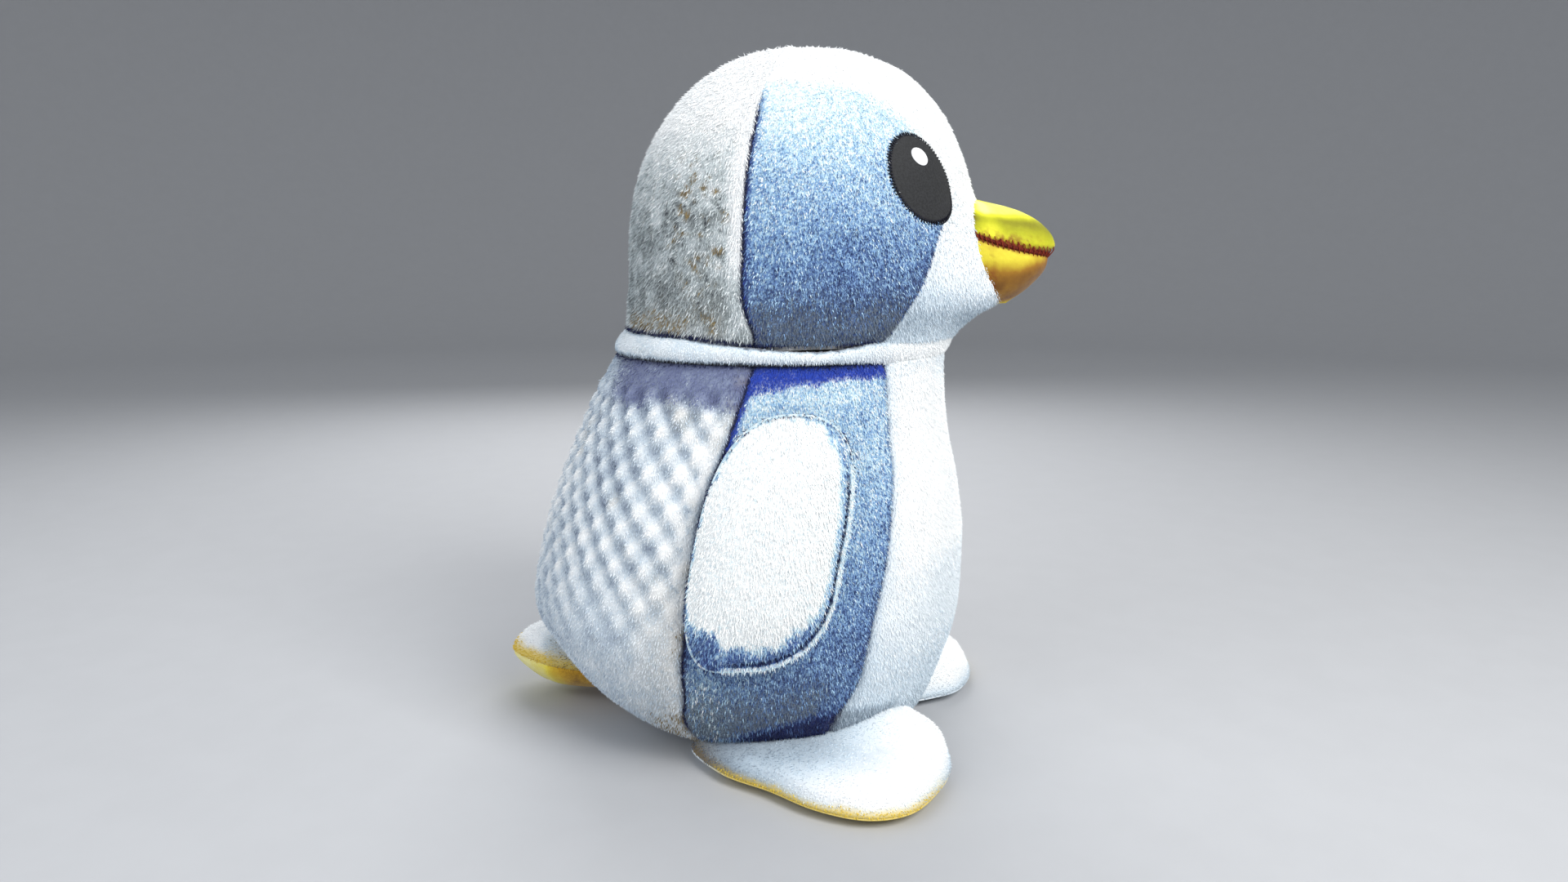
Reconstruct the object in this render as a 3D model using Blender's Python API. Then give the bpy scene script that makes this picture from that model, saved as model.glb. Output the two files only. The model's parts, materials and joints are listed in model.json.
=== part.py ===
# Stuffed toy penguin: a sewn, filled body and head, with flippers, feet and tail that hinge at their seams.
# World axes: the penguin faces -Y, its left side is +X, +Z is up, and it stands on the plane Z = 0.
# An azimuth runs round the vertical axis: 0 at the front, 90 degrees at the penguin's right side.

import math

import bmesh
import bpy
from mathutils import Vector

MM = 0.001

# Fabric, clearances and facet counts.
PLUSH = 2.0 * MM
THIN_CLOTH = 1.4 * MM
GAP = 0.3 * MM
SEAM_HALF_GAP = 0.2 * MM
FILL_CLEARANCE = 1.2 * MM
BACK_COLUMNS = 16
SIDE_COLUMNS = 6
FRONT_COLUMNS = 12
CORE_COLUMNS = 24

# The torso and head in horizontal rings: height, reach to the front, reach to the back, half width.
TORSO_STATIONS = [
    (0, 46, 39, 29),
    (5, 55, 59, 52),
    (16, 63, 79, 67),
    (34, 70, 97.5, 79),
    (58, 76, 110.5, 86),
    (84, 77, 105, 84),
    (110, 74, 96, 80),
    (135, 69, 85, 74),
    (163, 67, 71, 68),
]
HEAD_STATIONS = [
    (163, 67, 71, 68),
    (172, 71, 66.5, 68),
    (192, 76, 64, 69),
    (210, 77.5, 63.5, 69),
    (230, 75.5, 60.5, 66),
    (248, 70, 53.5, 59),
    (264, 60, 42, 48),
    (275, 47, 28, 36),
    (281.7, 29.5, 12, 20),
    (284, 8.5, -8.5, 0),
]
NECK_HEIGHT = 163 * MM
TORSO_ROWS = [0, 4, 10, 19, 32, 47, 64, 84, 104, 124, 144, 162.7]
HEAD_ROWS = [169.2, 179, 188, 196, 206, 216, 225, 236, 247, 256, 262, 265, 266.5, 274, 280, 284]

NECK_EDGES = (TORSO_ROWS[-1], HEAD_ROWS[0])

# The rounded muzzle that carries the beak.
MUZZLE = {
    "reach": 17 * MM, "height": 189 * MM, "above": 24.5 * MM, "below": 12 * MM, "spread": math.radians(24),
}

# Seams between panels: height and azimuth in degrees.
TORSO_BACK_SEAM = [(0, 106), (14, 102), (40, 92.5), (64, 89.7), (106, 90.3), (135, 86.3), (163, 83.8)]
BELLY_SEAM = [(0, 62), (24, 53.5), (40, 47), (64, 44.3), (103, 39.7), (127, 37.1), (145, 38.2), (163, 40)]
HEAD_BACK_SEAM = [(163, 86), (172, 87.4), (183, 92.3), (194, 94.2), (284, 94.5)]
MASK_SEAM = [
    (163, 47), (178, 41.8), (191, 36.8), (203, 33.8), (212, 30.4), (219, 26.5), (226, 24.5), (240, 28.5),
    (257, 43), (263, 55), (266.5, 94.5),
]
MASK_TOP = 266.5

NECK_BAND = {"bottom": 163.1, "top": 168.8, "proud": 1.2 * MM, "depth": 2.6 * MM, "columns": 30}

EYE = {"azimuth": 36.6, "height": 230.0, "half_angle": 12.7, "half_height": 16.2, "thickness": 1.0 * MM}
GLINT = {"azimuth": 37.6, "height": 237.6, "half_angle": 3.2, "half_height": 3.5, "thickness": 0.6 * MM}

# The beak's side profile from the bottom of its base, round the tip, to the top: forward reach and height.
BEAK_PROFILE = [
    (91.3, 183), (95.5, 185.5), (101.5, 190.3), (107.3, 197.5), (109.2, 202.4), (110, 206),
    (109.2, 209.5), (104.5, 215), (96.4, 219.5), (87.5, 222.3), (79, 224),
]
BEAK = {
    "half_width": 20.0, "base_bottom": 183.0, "base_top": 224.0, "mouth_angle": 0.34, "point": 1.25,
    "standoff": 0.9, "inside": 0.925, "core": 0.895,
}
BEAK_CENTRE = (86.0, 204.0)
BEAK_COLUMNS = 12
MOUTH_HALF = 0.045
MOUTH_GAP = 0.02

# The flipper hangs on the side, a little behind the middle: an oval that leans back towards its tip.
FLIPPER = {
    "middle": 93.5, "above": 52.0, "below": 39.0, "half_width": 25.8, "upper_power": 2.2, "lower_power": 2.6,
    "lean": 0.145, "base_forward": 7.0, "clearance": 1.2 * MM, "swell": 6.5 * MM, "edge": 3.2 * MM,
}

# The foot: its outline seen from above, as forward reach and distance from the middle plane.
FOOT_OUTLINE = [
    (-24, 55), (-6, 70), (14, 80), (34, 90), (54, 92.5), (69, 83), (76, 64), (78, 47), (74, 30), (66, 21),
    (55, 18), (40, 22), (20, 35), (0, 45),
]
FOOT_CENTRE = (40.0, 60.0)
FOOT_HINGE = {"rear": (-25.0, 50.0), "front": (62.0, 18.0), "lift": math.radians(12), "spare": 1.5}
FOOT_CLEARANCE = 1.7
FOOT_CROWN = 17.0
FOOT_RIM = 6.8
SOLE = {"bottom": 0.4, "rise": 3.0, "flat_share": 0.7}
FOOT_SHARES = (0, 0.45, 0.75, 0.92, 1)
FOOT_COLUMNS = 22

# The tail in sections from root to tip: top point, bottom point (reach to the back, height), half width.
TAIL_SECTIONS = [
    (97.4, 31, 86.6, 4, 22),
    (107, 32.3, 100, 2.6, 21),
    (116, 31.8, 110, 3.4, 18.5),
    (124, 29, 120, 7.4, 14.5),
    (130, 24.6, 128, 12.2, 9.5),
    (134, 18, 134, 18, 0),
]

# The pellet bag lies on the base panel, in a hollow of the body's stuffing.
PELLET_BAG = {"front": 40.0, "back": 44.0, "half_width": 38.0, "bottom": 2.6, "top": 30.0}

COLOURS = {
    "white_plush": (0.88, 0.90, 0.92), "blue_plush": (0.30, 0.42, 0.62),
    "silver_minky": (0.70, 0.74, 0.80), "cream_fleece": (0.86, 0.83, 0.76),
    "yellow_fleece": (0.90, 0.70, 0.12), "beak_yellow": (0.85, 0.78, 0.06),
    "beak_orange": (0.72, 0.42, 0.08), "mouth_red": (0.45, 0.04, 0.04),
    "eye_charcoal": (0.035, 0.035, 0.038), "glint_white": (0.95, 0.95, 0.97),
    "fibrefill": (0.93, 0.93, 0.93), "bag_cloth": (0.62, 0.60, 0.55),
}


def clear_scene():
    for item in list(bpy.data.objects):
        bpy.data.objects.remove(item)


def material_for(name):
    found = bpy.data.materials.get(name)
    if found:
        return found
    made = bpy.data.materials.new(name)
    made.use_nodes = True
    shader = made.node_tree.nodes["Principled BSDF"]
    shader.inputs["Base Color"].default_value = (*COLOURS[name], 1)
    shader.inputs["Roughness"].default_value = 0.85
    shader.inputs["Metallic"].default_value = 0.0
    return made


def smooth_value(stations, column, x):
    # Monotone cubic through the stations: first column is x, the chosen column is the value.
    last = len(stations) - 1
    x = min(max(x, stations[0][0]), stations[last][0])
    slopes = []
    for i in range(last):
        run = stations[i + 1][0] - stations[i][0]
        slopes.append((stations[i + 1][column] - stations[i][column]) / run)
    i = 0
    while i < last - 1 and x > stations[i + 1][0]:
        i += 1

    def tangent(k):
        if k == 0:
            return slopes[0]
        if k == last:
            return slopes[-1]
        if slopes[k - 1] * slopes[k] <= 0:
            return 0.0
        before = stations[k][0] - stations[k - 1][0]
        after = stations[k + 1][0] - stations[k][0]
        first = 2 * after + before
        second = after + 2 * before
        return (first + second) / (first / slopes[k - 1] + second / slopes[k])

    run = stations[i + 1][0] - stations[i][0]
    t = (x - stations[i][0]) / run
    rise = (2 * t**3 - 3 * t**2 + 1) * stations[i][column] + (3 * t**2 - 2 * t**3) * stations[i + 1][column]
    return rise + run * ((t**3 - 2 * t**2 + t) * tangent(i) + (t**3 - t**2) * tangent(i + 1))


def stations_by_length(stations):
    # The same stations with the profile's length as the parameter, so that a closed crown stays round.
    rows = [(0.0, *stations[0])]
    for before, after in zip(stations, stations[1:]):
        step = math.dist(before[:2], after[:2])
        rows.append((rows[-1][0] + step, *after))
    return rows


HEAD_CURVE = stations_by_length(HEAD_STATIONS)


def ring_point(forward, back, half, azimuth, height):
    centre = (forward - back) / 2
    reach = (forward + back) / 2
    return Vector((-half * math.sin(azimuth), -centre - reach * math.cos(azimuth), height)) * MM


def torso_surface(azimuth, height):
    # Height in millimetres, as in the stations.
    sizes = [smooth_value(TORSO_STATIONS, column, height) for column in (1, 2, 3)]
    return ring_point(*sizes, azimuth, height)


def head_length(height):
    # Length along the head's profile at which the profile reaches a height.
    low, high = 0.0, HEAD_CURVE[-1][0]
    for _ in range(40):
        middle = (low + high) / 2
        if smooth_value(HEAD_CURVE, 1, middle) < height:
            low = middle
        else:
            high = middle
    return high


def muzzle_bulge(azimuth, height):
    turn = math.remainder(azimuth, 2 * math.pi) / MUZZLE["spread"]
    rise = height * MM - MUZZLE["height"]
    spread = MUZZLE["above"] if rise > 0 else MUZZLE["below"]
    return MUZZLE["reach"] * math.exp(-turn * turn) * math.exp(-(rise / spread) ** 2)


def head_surface(azimuth, height):
    length = head_length(height)
    sizes = [smooth_value(HEAD_CURVE, column, length) for column in (2, 3, 4)]
    point = ring_point(*sizes, azimuth, height)
    point.y -= muzzle_bulge(azimuth, height)
    return point


def surface_normal(surface, azimuth, height):
    top = HEAD_STATIONS[-1][0]
    if surface is head_surface and height > top - 0.01:
        return Vector((0, 0, 1))
    step = min(0.5, top - height) / 2
    around = surface(azimuth + 0.01, height) - surface(azimuth - 0.01, height)
    lowest = 0.0 if surface is torso_surface else NECK_HEIGHT / MM
    low = max(height - step, lowest)
    up = surface(azimuth, height + step) - surface(azimuth, low)
    return up.cross(around).normalized()


def proud_point(surface, azimuth, height, distance):
    # A point that stands off the surface by a distance, or lies under it where the distance is negative.
    return surface(azimuth, height) + surface_normal(surface, azimuth, height) * distance


def add_object(name, mesh, material):
    mesh.materials.append(material_for(material))
    mesh.shade_smooth()
    mesh.set_sharp_from_angle(angle=math.radians(50))
    made = bpy.data.objects.new(name, mesh)
    bpy.context.scene.collection.objects.link(made)
    return made


def closed_layer(name, outer, inner, material, ring=False):
    # A closed solid between two grids of points of the same size. A ring's columns meet round the back.
    build = bmesh.new()
    rows, columns = len(outer), len(outer[0])
    layers = [[[build.verts.new(point) for point in row] for row in grid] for grid in (outer, inner)]
    last = columns if ring else columns - 1

    def quad(a, b, c, d):
        build.faces.new((a, b, c, d))

    for grid in layers:
        for i in range(rows - 1):
            for j in range(last):
                k = (j + 1) % columns
                quad(grid[i][j], grid[i][k], grid[i + 1][k], grid[i + 1][j])
    top, under = layers
    for i in (0, rows - 1):
        for j in range(last):
            k = (j + 1) % columns
            quad(top[i][j], top[i][k], under[i][k], under[i][j])
    if not ring:
        for j in (0, columns - 1):
            for i in range(rows - 1):
                quad(top[i][j], top[i + 1][j], under[i + 1][j], under[i][j])
    bmesh.ops.remove_doubles(build, verts=build.verts, dist=0.000002)
    bmesh.ops.dissolve_degenerate(build, edges=build.edges, dist=0.000002)
    bmesh.ops.recalc_face_normals(build, faces=build.faces)
    mesh = bpy.data.meshes.new(name)
    build.to_mesh(mesh)
    build.free()
    return add_object(name, mesh, material)


def closed_loft(name, rings, material):
    # A closed solid through a stack of rings, with a fan of triangles on each end.
    build = bmesh.new()
    loops = [[build.verts.new(point) for point in ring] for ring in rings]
    count = len(rings[0])
    for lower, upper in zip(loops, loops[1:]):
        for j in range(count):
            k = (j + 1) % count
            build.faces.new((lower[j], lower[k], upper[k], upper[j]))
    for loop in (loops[0], loops[-1]):
        centre = build.verts.new(sum((v.co for v in loop), Vector()) / count)
        for j in range(count):
            build.faces.new((loop[j], loop[(j + 1) % count], centre))
    bmesh.ops.remove_doubles(build, verts=build.verts, dist=0.000002)
    bmesh.ops.dissolve_degenerate(build, edges=build.edges, dist=0.000002)
    bmesh.ops.recalc_face_normals(build, faces=build.faces)
    mesh = bpy.data.meshes.new(name)
    build.to_mesh(mesh)
    build.free()
    return add_object(name, mesh, material)


def panel(name, surface, rows, edges, columns, material, shift=(0, 0, 0), thickness=PLUSH):
    # One cut piece of fabric on a surface: edges gives its first and last azimuth at a height.
    outer, inner = [], []
    offset = Vector(shift)
    for height in rows:
        first, last = edges(height)
        azimuths = [first + (last - first) * j / columns for j in range(columns + 1)]
        outer.append([surface(a, height) + offset for a in azimuths])
        under = [proud_point(surface, a, height, -thickness) + offset for a in azimuths]
        if height in NECK_EDGES:
            for point in under:
                point.z = height * MM
        inner.append(under)
    return closed_layer(name, outer, inner, material)


def seam(surface, stations, height, side=0):
    # Azimuth of a seam at a height. side -1 or 1 gives the cut edge in front of it or behind it.
    azimuth = math.radians(smooth_value(stations, 1, height))
    if not side:
        return azimuth
    ahead = smooth_value(stations, 1, height + 0.25) - smooth_value(stations, 1, height - 0.25)
    slant = math.radians(ahead) / 0.5
    across = surface(math.pi / 2, height) - surface(-math.pi / 2, height)
    radius = max(across.length / 2 / MM, 4.0)
    return azimuth + side * SEAM_HALF_GAP / MM / radius * math.hypot(1, slant * radius)


def make_torso_panels():
    def edge(stations, side):
        return lambda height: seam(torso_surface, stations, height, side)

    back, side_back = edge(TORSO_BACK_SEAM, 1), edge(TORSO_BACK_SEAM, -1)
    belly, side_front = edge(BELLY_SEAM, -1), edge(BELLY_SEAM, 1)
    panel("body_back_panel", torso_surface, TORSO_ROWS, lambda h: (back(h), 2 * math.pi - back(h)),
          BACK_COLUMNS, "silver_minky")
    panel("belly_panel", torso_surface, TORSO_ROWS, lambda h: (-belly(h), belly(h)),
          FRONT_COLUMNS, "white_plush")
    panel("body_side_panel_right", torso_surface, TORSO_ROWS, lambda h: (side_front(h), side_back(h)),
          SIDE_COLUMNS, "blue_plush")
    panel("body_side_panel_left", torso_surface, TORSO_ROWS, lambda h: (-side_front(h), -side_back(h)),
          SIDE_COLUMNS, "blue_plush")


def make_head_panels():
    def edge(stations, side):
        return lambda height: seam(head_surface, stations, height, side)

    back, side_back = edge(HEAD_BACK_SEAM, 1), edge(HEAD_BACK_SEAM, -1)
    face_side, mask = edge(MASK_SEAM, -1), edge(MASK_SEAM, 1)
    mask_rows = [height for height in HEAD_ROWS if height < MASK_TOP - 1] + [MASK_TOP - 0.4]

    def face(height):
        return face_side(height) if height < MASK_TOP else side_back(height)

    def mask_edges(height):
        last = side_back(height)
        return min(mask(height), last) if height < mask_rows[-1] else last, last

    panel("head_back_panel", head_surface, HEAD_ROWS, lambda h: (back(h), 2 * math.pi - back(h)),
          BACK_COLUMNS, "silver_minky", (0, GAP, 0))
    panel("face_panel", head_surface, HEAD_ROWS, lambda h: (-face(h), face(h)), BACK_COLUMNS, "white_plush")
    panel("head_side_panel_right", head_surface, mask_rows, mask_edges, SIDE_COLUMNS, "blue_plush")
    panel("head_side_panel_left", head_surface, mask_rows, lambda h: tuple(-a for a in mask_edges(h)),
          SIDE_COLUMNS, "blue_plush")


def make_base_panel():
    front, back, half = (size - 1.5 for size in TORSO_STATIONS[0][1:])
    azimuths = [2 * math.pi * j / CORE_COLUMNS for j in range(CORE_COLUMNS)]
    rings = [[ring_point(front, back, half, a, height) for a in azimuths] for height in (0.0, PLUSH / MM)]
    closed_loft("base_panel", rings, "silver_minky")


def make_neck_band():
    bottom, top = NECK_BAND["bottom"], NECK_BAND["top"]
    azimuths = [2 * math.pi * j / NECK_BAND["columns"] for j in range(NECK_BAND["columns"])]
    outer, inner = [], []
    for share in (0, 0.3, 0.7, 1):
        height = bottom + (top - bottom) * share
        proud = NECK_BAND["proud"] * (1 - abs(2 * share - 1) ** 3)
        outer.append([proud_point(head_surface, a, height, proud) for a in azimuths])
        inner.append([proud_point(head_surface, a, height, -NECK_BAND["depth"]) for a in azimuths])
    for grid in (outer, inner):
        for row, height in ((grid[0], bottom), (grid[-1], top)):
            for point in row:
                point.z = height * MM
    closed_layer("neck_band", outer, inner, "white_plush", ring=True)


def bag_ring(share, growth):
    # A ring of the pellet bag at an angle share of -1 (bottom) to 1 (top), grown outwards by a distance.
    angle = share * math.pi / 2
    middle = (PELLET_BAG["bottom"] + PELLET_BAG["top"]) / 2
    height = middle + ((PELLET_BAG["top"] - PELLET_BAG["bottom"]) / 2 + growth) * math.sin(angle)
    sizes = [(PELLET_BAG[key] + growth) * math.cos(angle) for key in ("front", "back", "half_width")]
    azimuths = [2 * math.pi * j / CORE_COLUMNS for j in range(CORE_COLUMNS)]
    return [ring_point(*sizes, a, height) for a in azimuths]


def make_stuffing():
    depth = PLUSH + FILL_CLEARANCE
    azimuths = [2 * math.pi * j / CORE_COLUMNS for j in range(CORE_COLUMNS)]
    hollow = [bag_ring(share, 1.0) for share in (0.95, 0.75, 0.5, 0.2, -0.15, -0.5, -0.72)]
    body_rows = TORSO_ROWS[:-1] + [161.5]
    skin = [[proud_point(torso_surface, a, height, -depth) for a in azimuths] for height in body_rows]
    closed_loft("body_stuffing", hollow + skin, "fibrefill")
    head_rows = [167.6] + HEAD_ROWS[1:-1]
    skin = [[proud_point(head_surface, a, height, -depth) for a in azimuths] for height in head_rows]
    closed_loft("head_stuffing", skin, "fibrefill")
    bag = [bag_ring(share, 0.0) for share in (-0.85, -0.65, -0.4, -0.1, 0.2, 0.5, 0.75, 0.93)]
    closed_loft("pellet_bag", bag, "bag_cloth")


def patch_on_head(name, patch, side, low, high, material, rings=3, columns=18):
    # An oval patch on the head, between two distances off the surface, thinner at its rim.
    outer, inner = [], []
    for i in range(rings + 1):
        share = i / rings
        top_row, low_row = [], []
        for j in range(columns):
            turn = 2 * math.pi * j / columns
            azimuth = side * math.radians(patch["azimuth"] + patch["half_angle"] * share * math.cos(turn))
            height = patch["height"] + patch["half_height"] * share * math.sin(turn)
            top_row.append(proud_point(head_surface, azimuth, height, high - (high - low) * 0.4 * share**4))
            low_row.append(proud_point(head_surface, azimuth, height, low))
        outer.append(top_row)
        inner.append(low_row)
    return closed_layer(name, outer, inner, material, ring=True)


def make_eyes():
    for side, word in ((1, "right"), (-1, "left")):
        eye_top = GAP + EYE["thickness"]
        glint_low = eye_top + GAP
        patch_on_head(f"eye_{word}", EYE, side, GAP, eye_top, "eye_charcoal")
        glint_top = glint_low + GLINT["thickness"]
        patch_on_head(f"eye_glint_{word}", GLINT, side, glint_low, glint_top, "glint_white",
                      rings=2, columns=12)


def face_forward(across, height):
    # Forward reach of the face at a distance from the middle plane, both in millimetres.
    length = head_length(height)
    forward, back, half = (smooth_value(HEAD_CURVE, column, length) for column in (2, 3, 4))
    azimuth = math.asin(max(-1, min(1, -across / half)))
    reach = (forward - back) / 2 + (forward + back) / 2 * math.cos(azimuth)
    return reach + muzzle_bulge(azimuth, height) / MM


BEAK_CURVE = stations_by_length(BEAK_PROFILE)
BEAK_LENGTH = BEAK_CURVE[-1][0]
MOUTH_LENGTH = BEAK_CURVE[4][0]


def beak_point(share, turn, scale):
    # share runs from -1 at the bottom, through 0 at the mouth, to 1 at the top; turn goes round the front
    # from 0 at the penguin's left to pi at its right. A scale under 1 gives the layers inside.
    if share < 0:
        length = MOUTH_LENGTH * (1 + share)
    else:
        length = MOUTH_LENGTH + (BEAK_LENGTH - MOUTH_LENGTH) * share
    front = smooth_value(BEAK_CURVE, 1, length)
    front_height = smooth_value(BEAK_CURVE, 2, length)
    front = BEAK_CENTRE[0] + (front - BEAK_CENTRE[0]) * scale
    front_height = BEAK_CENTRE[1] + (front_height - BEAK_CENTRE[1]) * scale
    middle = (BEAK["base_bottom"] + BEAK["base_top"]) / 2
    half_height = (BEAK["base_top"] - BEAK["base_bottom"]) / 2
    span = math.pi / 2 + math.copysign(BEAK["mouth_angle"], -share)
    angle = BEAK["mouth_angle"] + span * share
    across = BEAK["half_width"] * math.cos(angle) * scale
    base_height = middle + half_height * math.sin(angle) * scale
    side = math.copysign(abs(math.cos(turn)) ** BEAK["point"], math.cos(turn)) * across
    ahead = math.sin(turn) ** BEAK["point"] if 0 < turn < math.pi and abs(share) < 0.999 else 0.0
    base_reach = face_forward(side, base_height) + BEAK["standoff"]
    height = base_height + (front_height - base_height) * ahead
    reach = base_reach + (front - base_reach) * ahead
    return Vector((side, -reach, height)) * MM


def beak_grid(first, last, rows, scale):
    grid = []
    for i in range(rows + 1):
        share = first + (last - first) * i / rows
        grid.append([beak_point(share, math.pi * j / BEAK_COLUMNS, scale) for j in range(BEAK_COLUMNS + 1)])
    return grid


def beak_back_grid(rows, scale):
    # The back of the filling, which follows the face behind it.
    grid = []
    for i in range(rows + 1):
        share = -1 + 2 * i / rows
        left = beak_point(share, 0.0, scale)
        row = []
        for j in range(BEAK_COLUMNS + 1):
            across = left.x / MM * math.cos(math.pi * j / BEAK_COLUMNS)
            height = left.z / MM
            row.append(Vector((across, -face_forward(across, height) - BEAK["standoff"], height)) * MM)
        grid.append(row)
    return grid


def make_beak():
    inside, core = BEAK["inside"], BEAK["core"]
    edge = MOUTH_HALF + MOUTH_GAP
    closed_layer("beak_upper", beak_grid(edge, 1, 5, 1), beak_grid(edge, 1, 5, inside), "beak_yellow")
    closed_layer("beak_lower", beak_grid(-1, -edge, 5, 1), beak_grid(-1, -edge, 5, inside), "beak_orange")
    proud = beak_grid(-MOUTH_HALF, MOUTH_HALF, 1, 1.015)
    closed_layer("mouth_piping", proud, beak_grid(-MOUTH_HALF, MOUTH_HALF, 1, inside), "mouth_red")
    closed_layer("beak_stuffing", beak_grid(-1, 1, 8, core), beak_back_grid(8, core), "fibrefill")


def flipper_place(share, turn):
    # Forward reach and height of a point of the flipper's oval, share 0 at its centre to 1 at its rim.
    cosine, sine = math.cos(turn), math.sin(turn)
    power = FLIPPER["upper_power"] if sine > 0 else FLIPPER["lower_power"]
    extent = FLIPPER["above"] if sine > 0 else FLIPPER["below"]
    across = math.copysign(abs(cosine) ** (2 / power), cosine) * FLIPPER["half_width"] * share
    height = FLIPPER["middle"] + math.copysign(abs(sine) ** (2 / power), sine) * extent * share
    lowest = FLIPPER["middle"] - FLIPPER["below"]
    return FLIPPER["base_forward"] + (height - lowest) * FLIPPER["lean"] + across, height


def flipper_point(side, share, turn, distance):
    forward, height = flipper_place(share, turn)
    sizes = [smooth_value(TORSO_STATIONS, column, height) for column in (1, 2)]
    centre, reach = (sizes[0] - sizes[1]) / 2, (sizes[0] + sizes[1]) / 2
    azimuth = side * math.acos((forward - centre) / reach)
    return proud_point(torso_surface, azimuth, height, distance)


def flipper_layer(name, side, limit, low, high, material, rings=3, columns=20):
    outer, inner = [], []
    for i in range(rings + 1):
        share = limit * i / rings
        turns = [2 * math.pi * j / columns for j in range(columns)]
        outer.append([flipper_point(side, share, turn, high(share)) for turn in turns])
        inner.append([flipper_point(side, share, turn, low(share)) for turn in turns])
    return closed_layer(name, outer, inner, material, ring=True)


def make_flippers():
    base = FLIPPER["clearance"]
    lining_top = base + THIN_CLOTH

    def outside(share):
        return lining_top + FLIPPER["edge"] + FLIPPER["swell"] * (1 - share**3)

    def under_outside(share):
        return outside(share) - THIN_CLOTH

    for side, word in ((1, "right"), (-1, "left")):
        flipper_layer(f"flipper_lining_{word}", side, 1.0, lambda share: base,
                      lambda share: lining_top, "blue_plush")
        flipper_layer(f"flipper_outer_{word}", side, 1.0, under_outside, outside, "blue_plush")
        flipper_layer(
            f"flipper_stuffing_{word}", side, 0.95, lambda share: lining_top + 2 * GAP,
            lambda share: under_outside(share) - 2 * GAP, "fibrefill")


def torso_underside(forward, across):
    # Height at which the rounded underside of the torso stands over a place on the floor; None outside it.
    def inside(height):
        front, back, half = (smooth_value(TORSO_STATIONS, column, height) for column in (1, 2, 3))
        centre, reach = (front - back) / 2, (front + back) / 2
        return ((forward - centre) / reach) ** 2 + (across / half) ** 2 < 1

    low, high = 0.0, TORSO_STATIONS[4][0]
    if not inside(high):
        return None
    for _ in range(24):
        middle = (low + high) / 2
        if inside(middle):
            high = middle
        else:
            low = middle
    return high


def foot_room(forward, across):
    # Height left for the foot under the torso, with the room that its lift takes.
    under = torso_underside(forward, across)
    if under is None:
        return 1000.0
    rear, front = Vector(FOOT_HINGE["rear"]), Vector(FOOT_HINGE["front"])
    along = (front - rear).normalized()
    from_hinge = Vector((forward, across)) - rear
    distance = from_hinge.y * along.x - from_hinge.x * along.y
    return under - FOOT_CLEARANCE - max(0.0, distance) * math.sin(FOOT_HINGE["lift"]) * FOOT_HINGE["spare"]


def closed_curve(points, share):
    # A closed smooth curve through points, share 0 to 1.
    count = len(points)
    place = share * count
    i = int(place) % count
    t = place - int(place)
    a, b, c, d = (Vector(points[(i + k) % count]) for k in (-1, 0, 1, 2))
    return 0.5 * (2 * b + (c - a) * t + (2 * a - 5 * b + 4 * c - d) * t**2 + (3 * b - a - 3 * c + d) * t**3)


def foot_rim(share):
    # The rim: the outline, drawn in to where the torso leaves room for the foot.
    centre = Vector(FOOT_CENTRE)
    rim = closed_curve(FOOT_OUTLINE, share)
    fits = 1.0
    while fits > 0.1 and foot_room(*(centre + (rim - centre) * fits)) < FOOT_RIM + 0.3:
        fits -= 0.01
    return centre + (rim - centre) * fits


def foot_layer(name, side, shares, low, high, material):
    centre = Vector(FOOT_CENTRE)
    rims = [foot_rim(j / FOOT_COLUMNS) for j in range(FOOT_COLUMNS)]
    outer, inner = [], []
    for share in shares:
        top_row, low_row = [], []
        for rim in rims:
            place = centre + (rim - centre) * share
            room = foot_room(*place)
            top_row.append(Vector((-side * place.y, -place.x, high(share, room))) * MM)
            low_row.append(Vector((-side * place.y, -place.x, low(share, room))) * MM)
        outer.append(top_row)
        inner.append(low_row)
    for row in outer[0], inner[0]:
        for point in row:
            point.z = row[0].z
    return closed_layer(name, outer, inner, material, ring=True)


def make_feet():
    cloth = THIN_CLOTH / MM

    def crown(share, room):
        return min(FOOT_RIM + (FOOT_CROWN - FOOT_RIM) * (1 - share**3) ** 0.8, room)

    def floor(share, room):
        upturn = max(0.0, share - SOLE["flat_share"]) / (1 - SOLE["flat_share"])
        return SOLE["bottom"] + SOLE["rise"] * upturn**2

    for side, word in ((1, "right"), (-1, "left")):
        shares = FOOT_SHARES
        foot_layer(f"foot_sole_{word}", side, shares, floor, lambda s, r: floor(s, r) + cloth,
                   "yellow_fleece")
        foot_layer(f"foot_upper_{word}", side, shares, lambda s, r: crown(s, r) - cloth, crown,
                   "cream_fleece")
        foot_layer(f"foot_stuffing_{word}", side, shares[:-1], lambda s, r: floor(s, r) + cloth + 0.4,
                   lambda s, r: crown(s, r) - cloth - 0.4, "fibrefill")


def tail_point(share, turn):
    place = share * (len(TAIL_SECTIONS) - 1)
    rows = [(i, *section) for i, section in enumerate(TAIL_SECTIONS)]
    top_reach, top, low_reach, low, half = (smooth_value(rows, column, place) for column in range(1, 6))
    rise = (1 + math.sin(turn)) / 2
    reach = low_reach + (top_reach - low_reach) * rise
    return Vector((half * math.cos(turn), reach, low + (top - low) * rise)) * MM


def tail_inside(share, turn, depth):
    # A point under the tail's skin, measured square to the skin.
    if share > 0.999:
        return tail_point(share, turn) + Vector((0, -depth * 1.6, 0))
    around = tail_point(share, turn + 0.02) - tail_point(share, turn - 0.02)
    along = tail_point(min(share + 0.01, 1), turn) - tail_point(max(share - 0.01, 0), turn)
    inward = along.cross(around).normalized()
    centre = (tail_point(share, math.pi / 2) + tail_point(share, -math.pi / 2)) / 2
    point = tail_point(share, turn)
    if inward.dot(centre - point) < 0:
        inward.negate()
    return point + inward * depth


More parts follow.
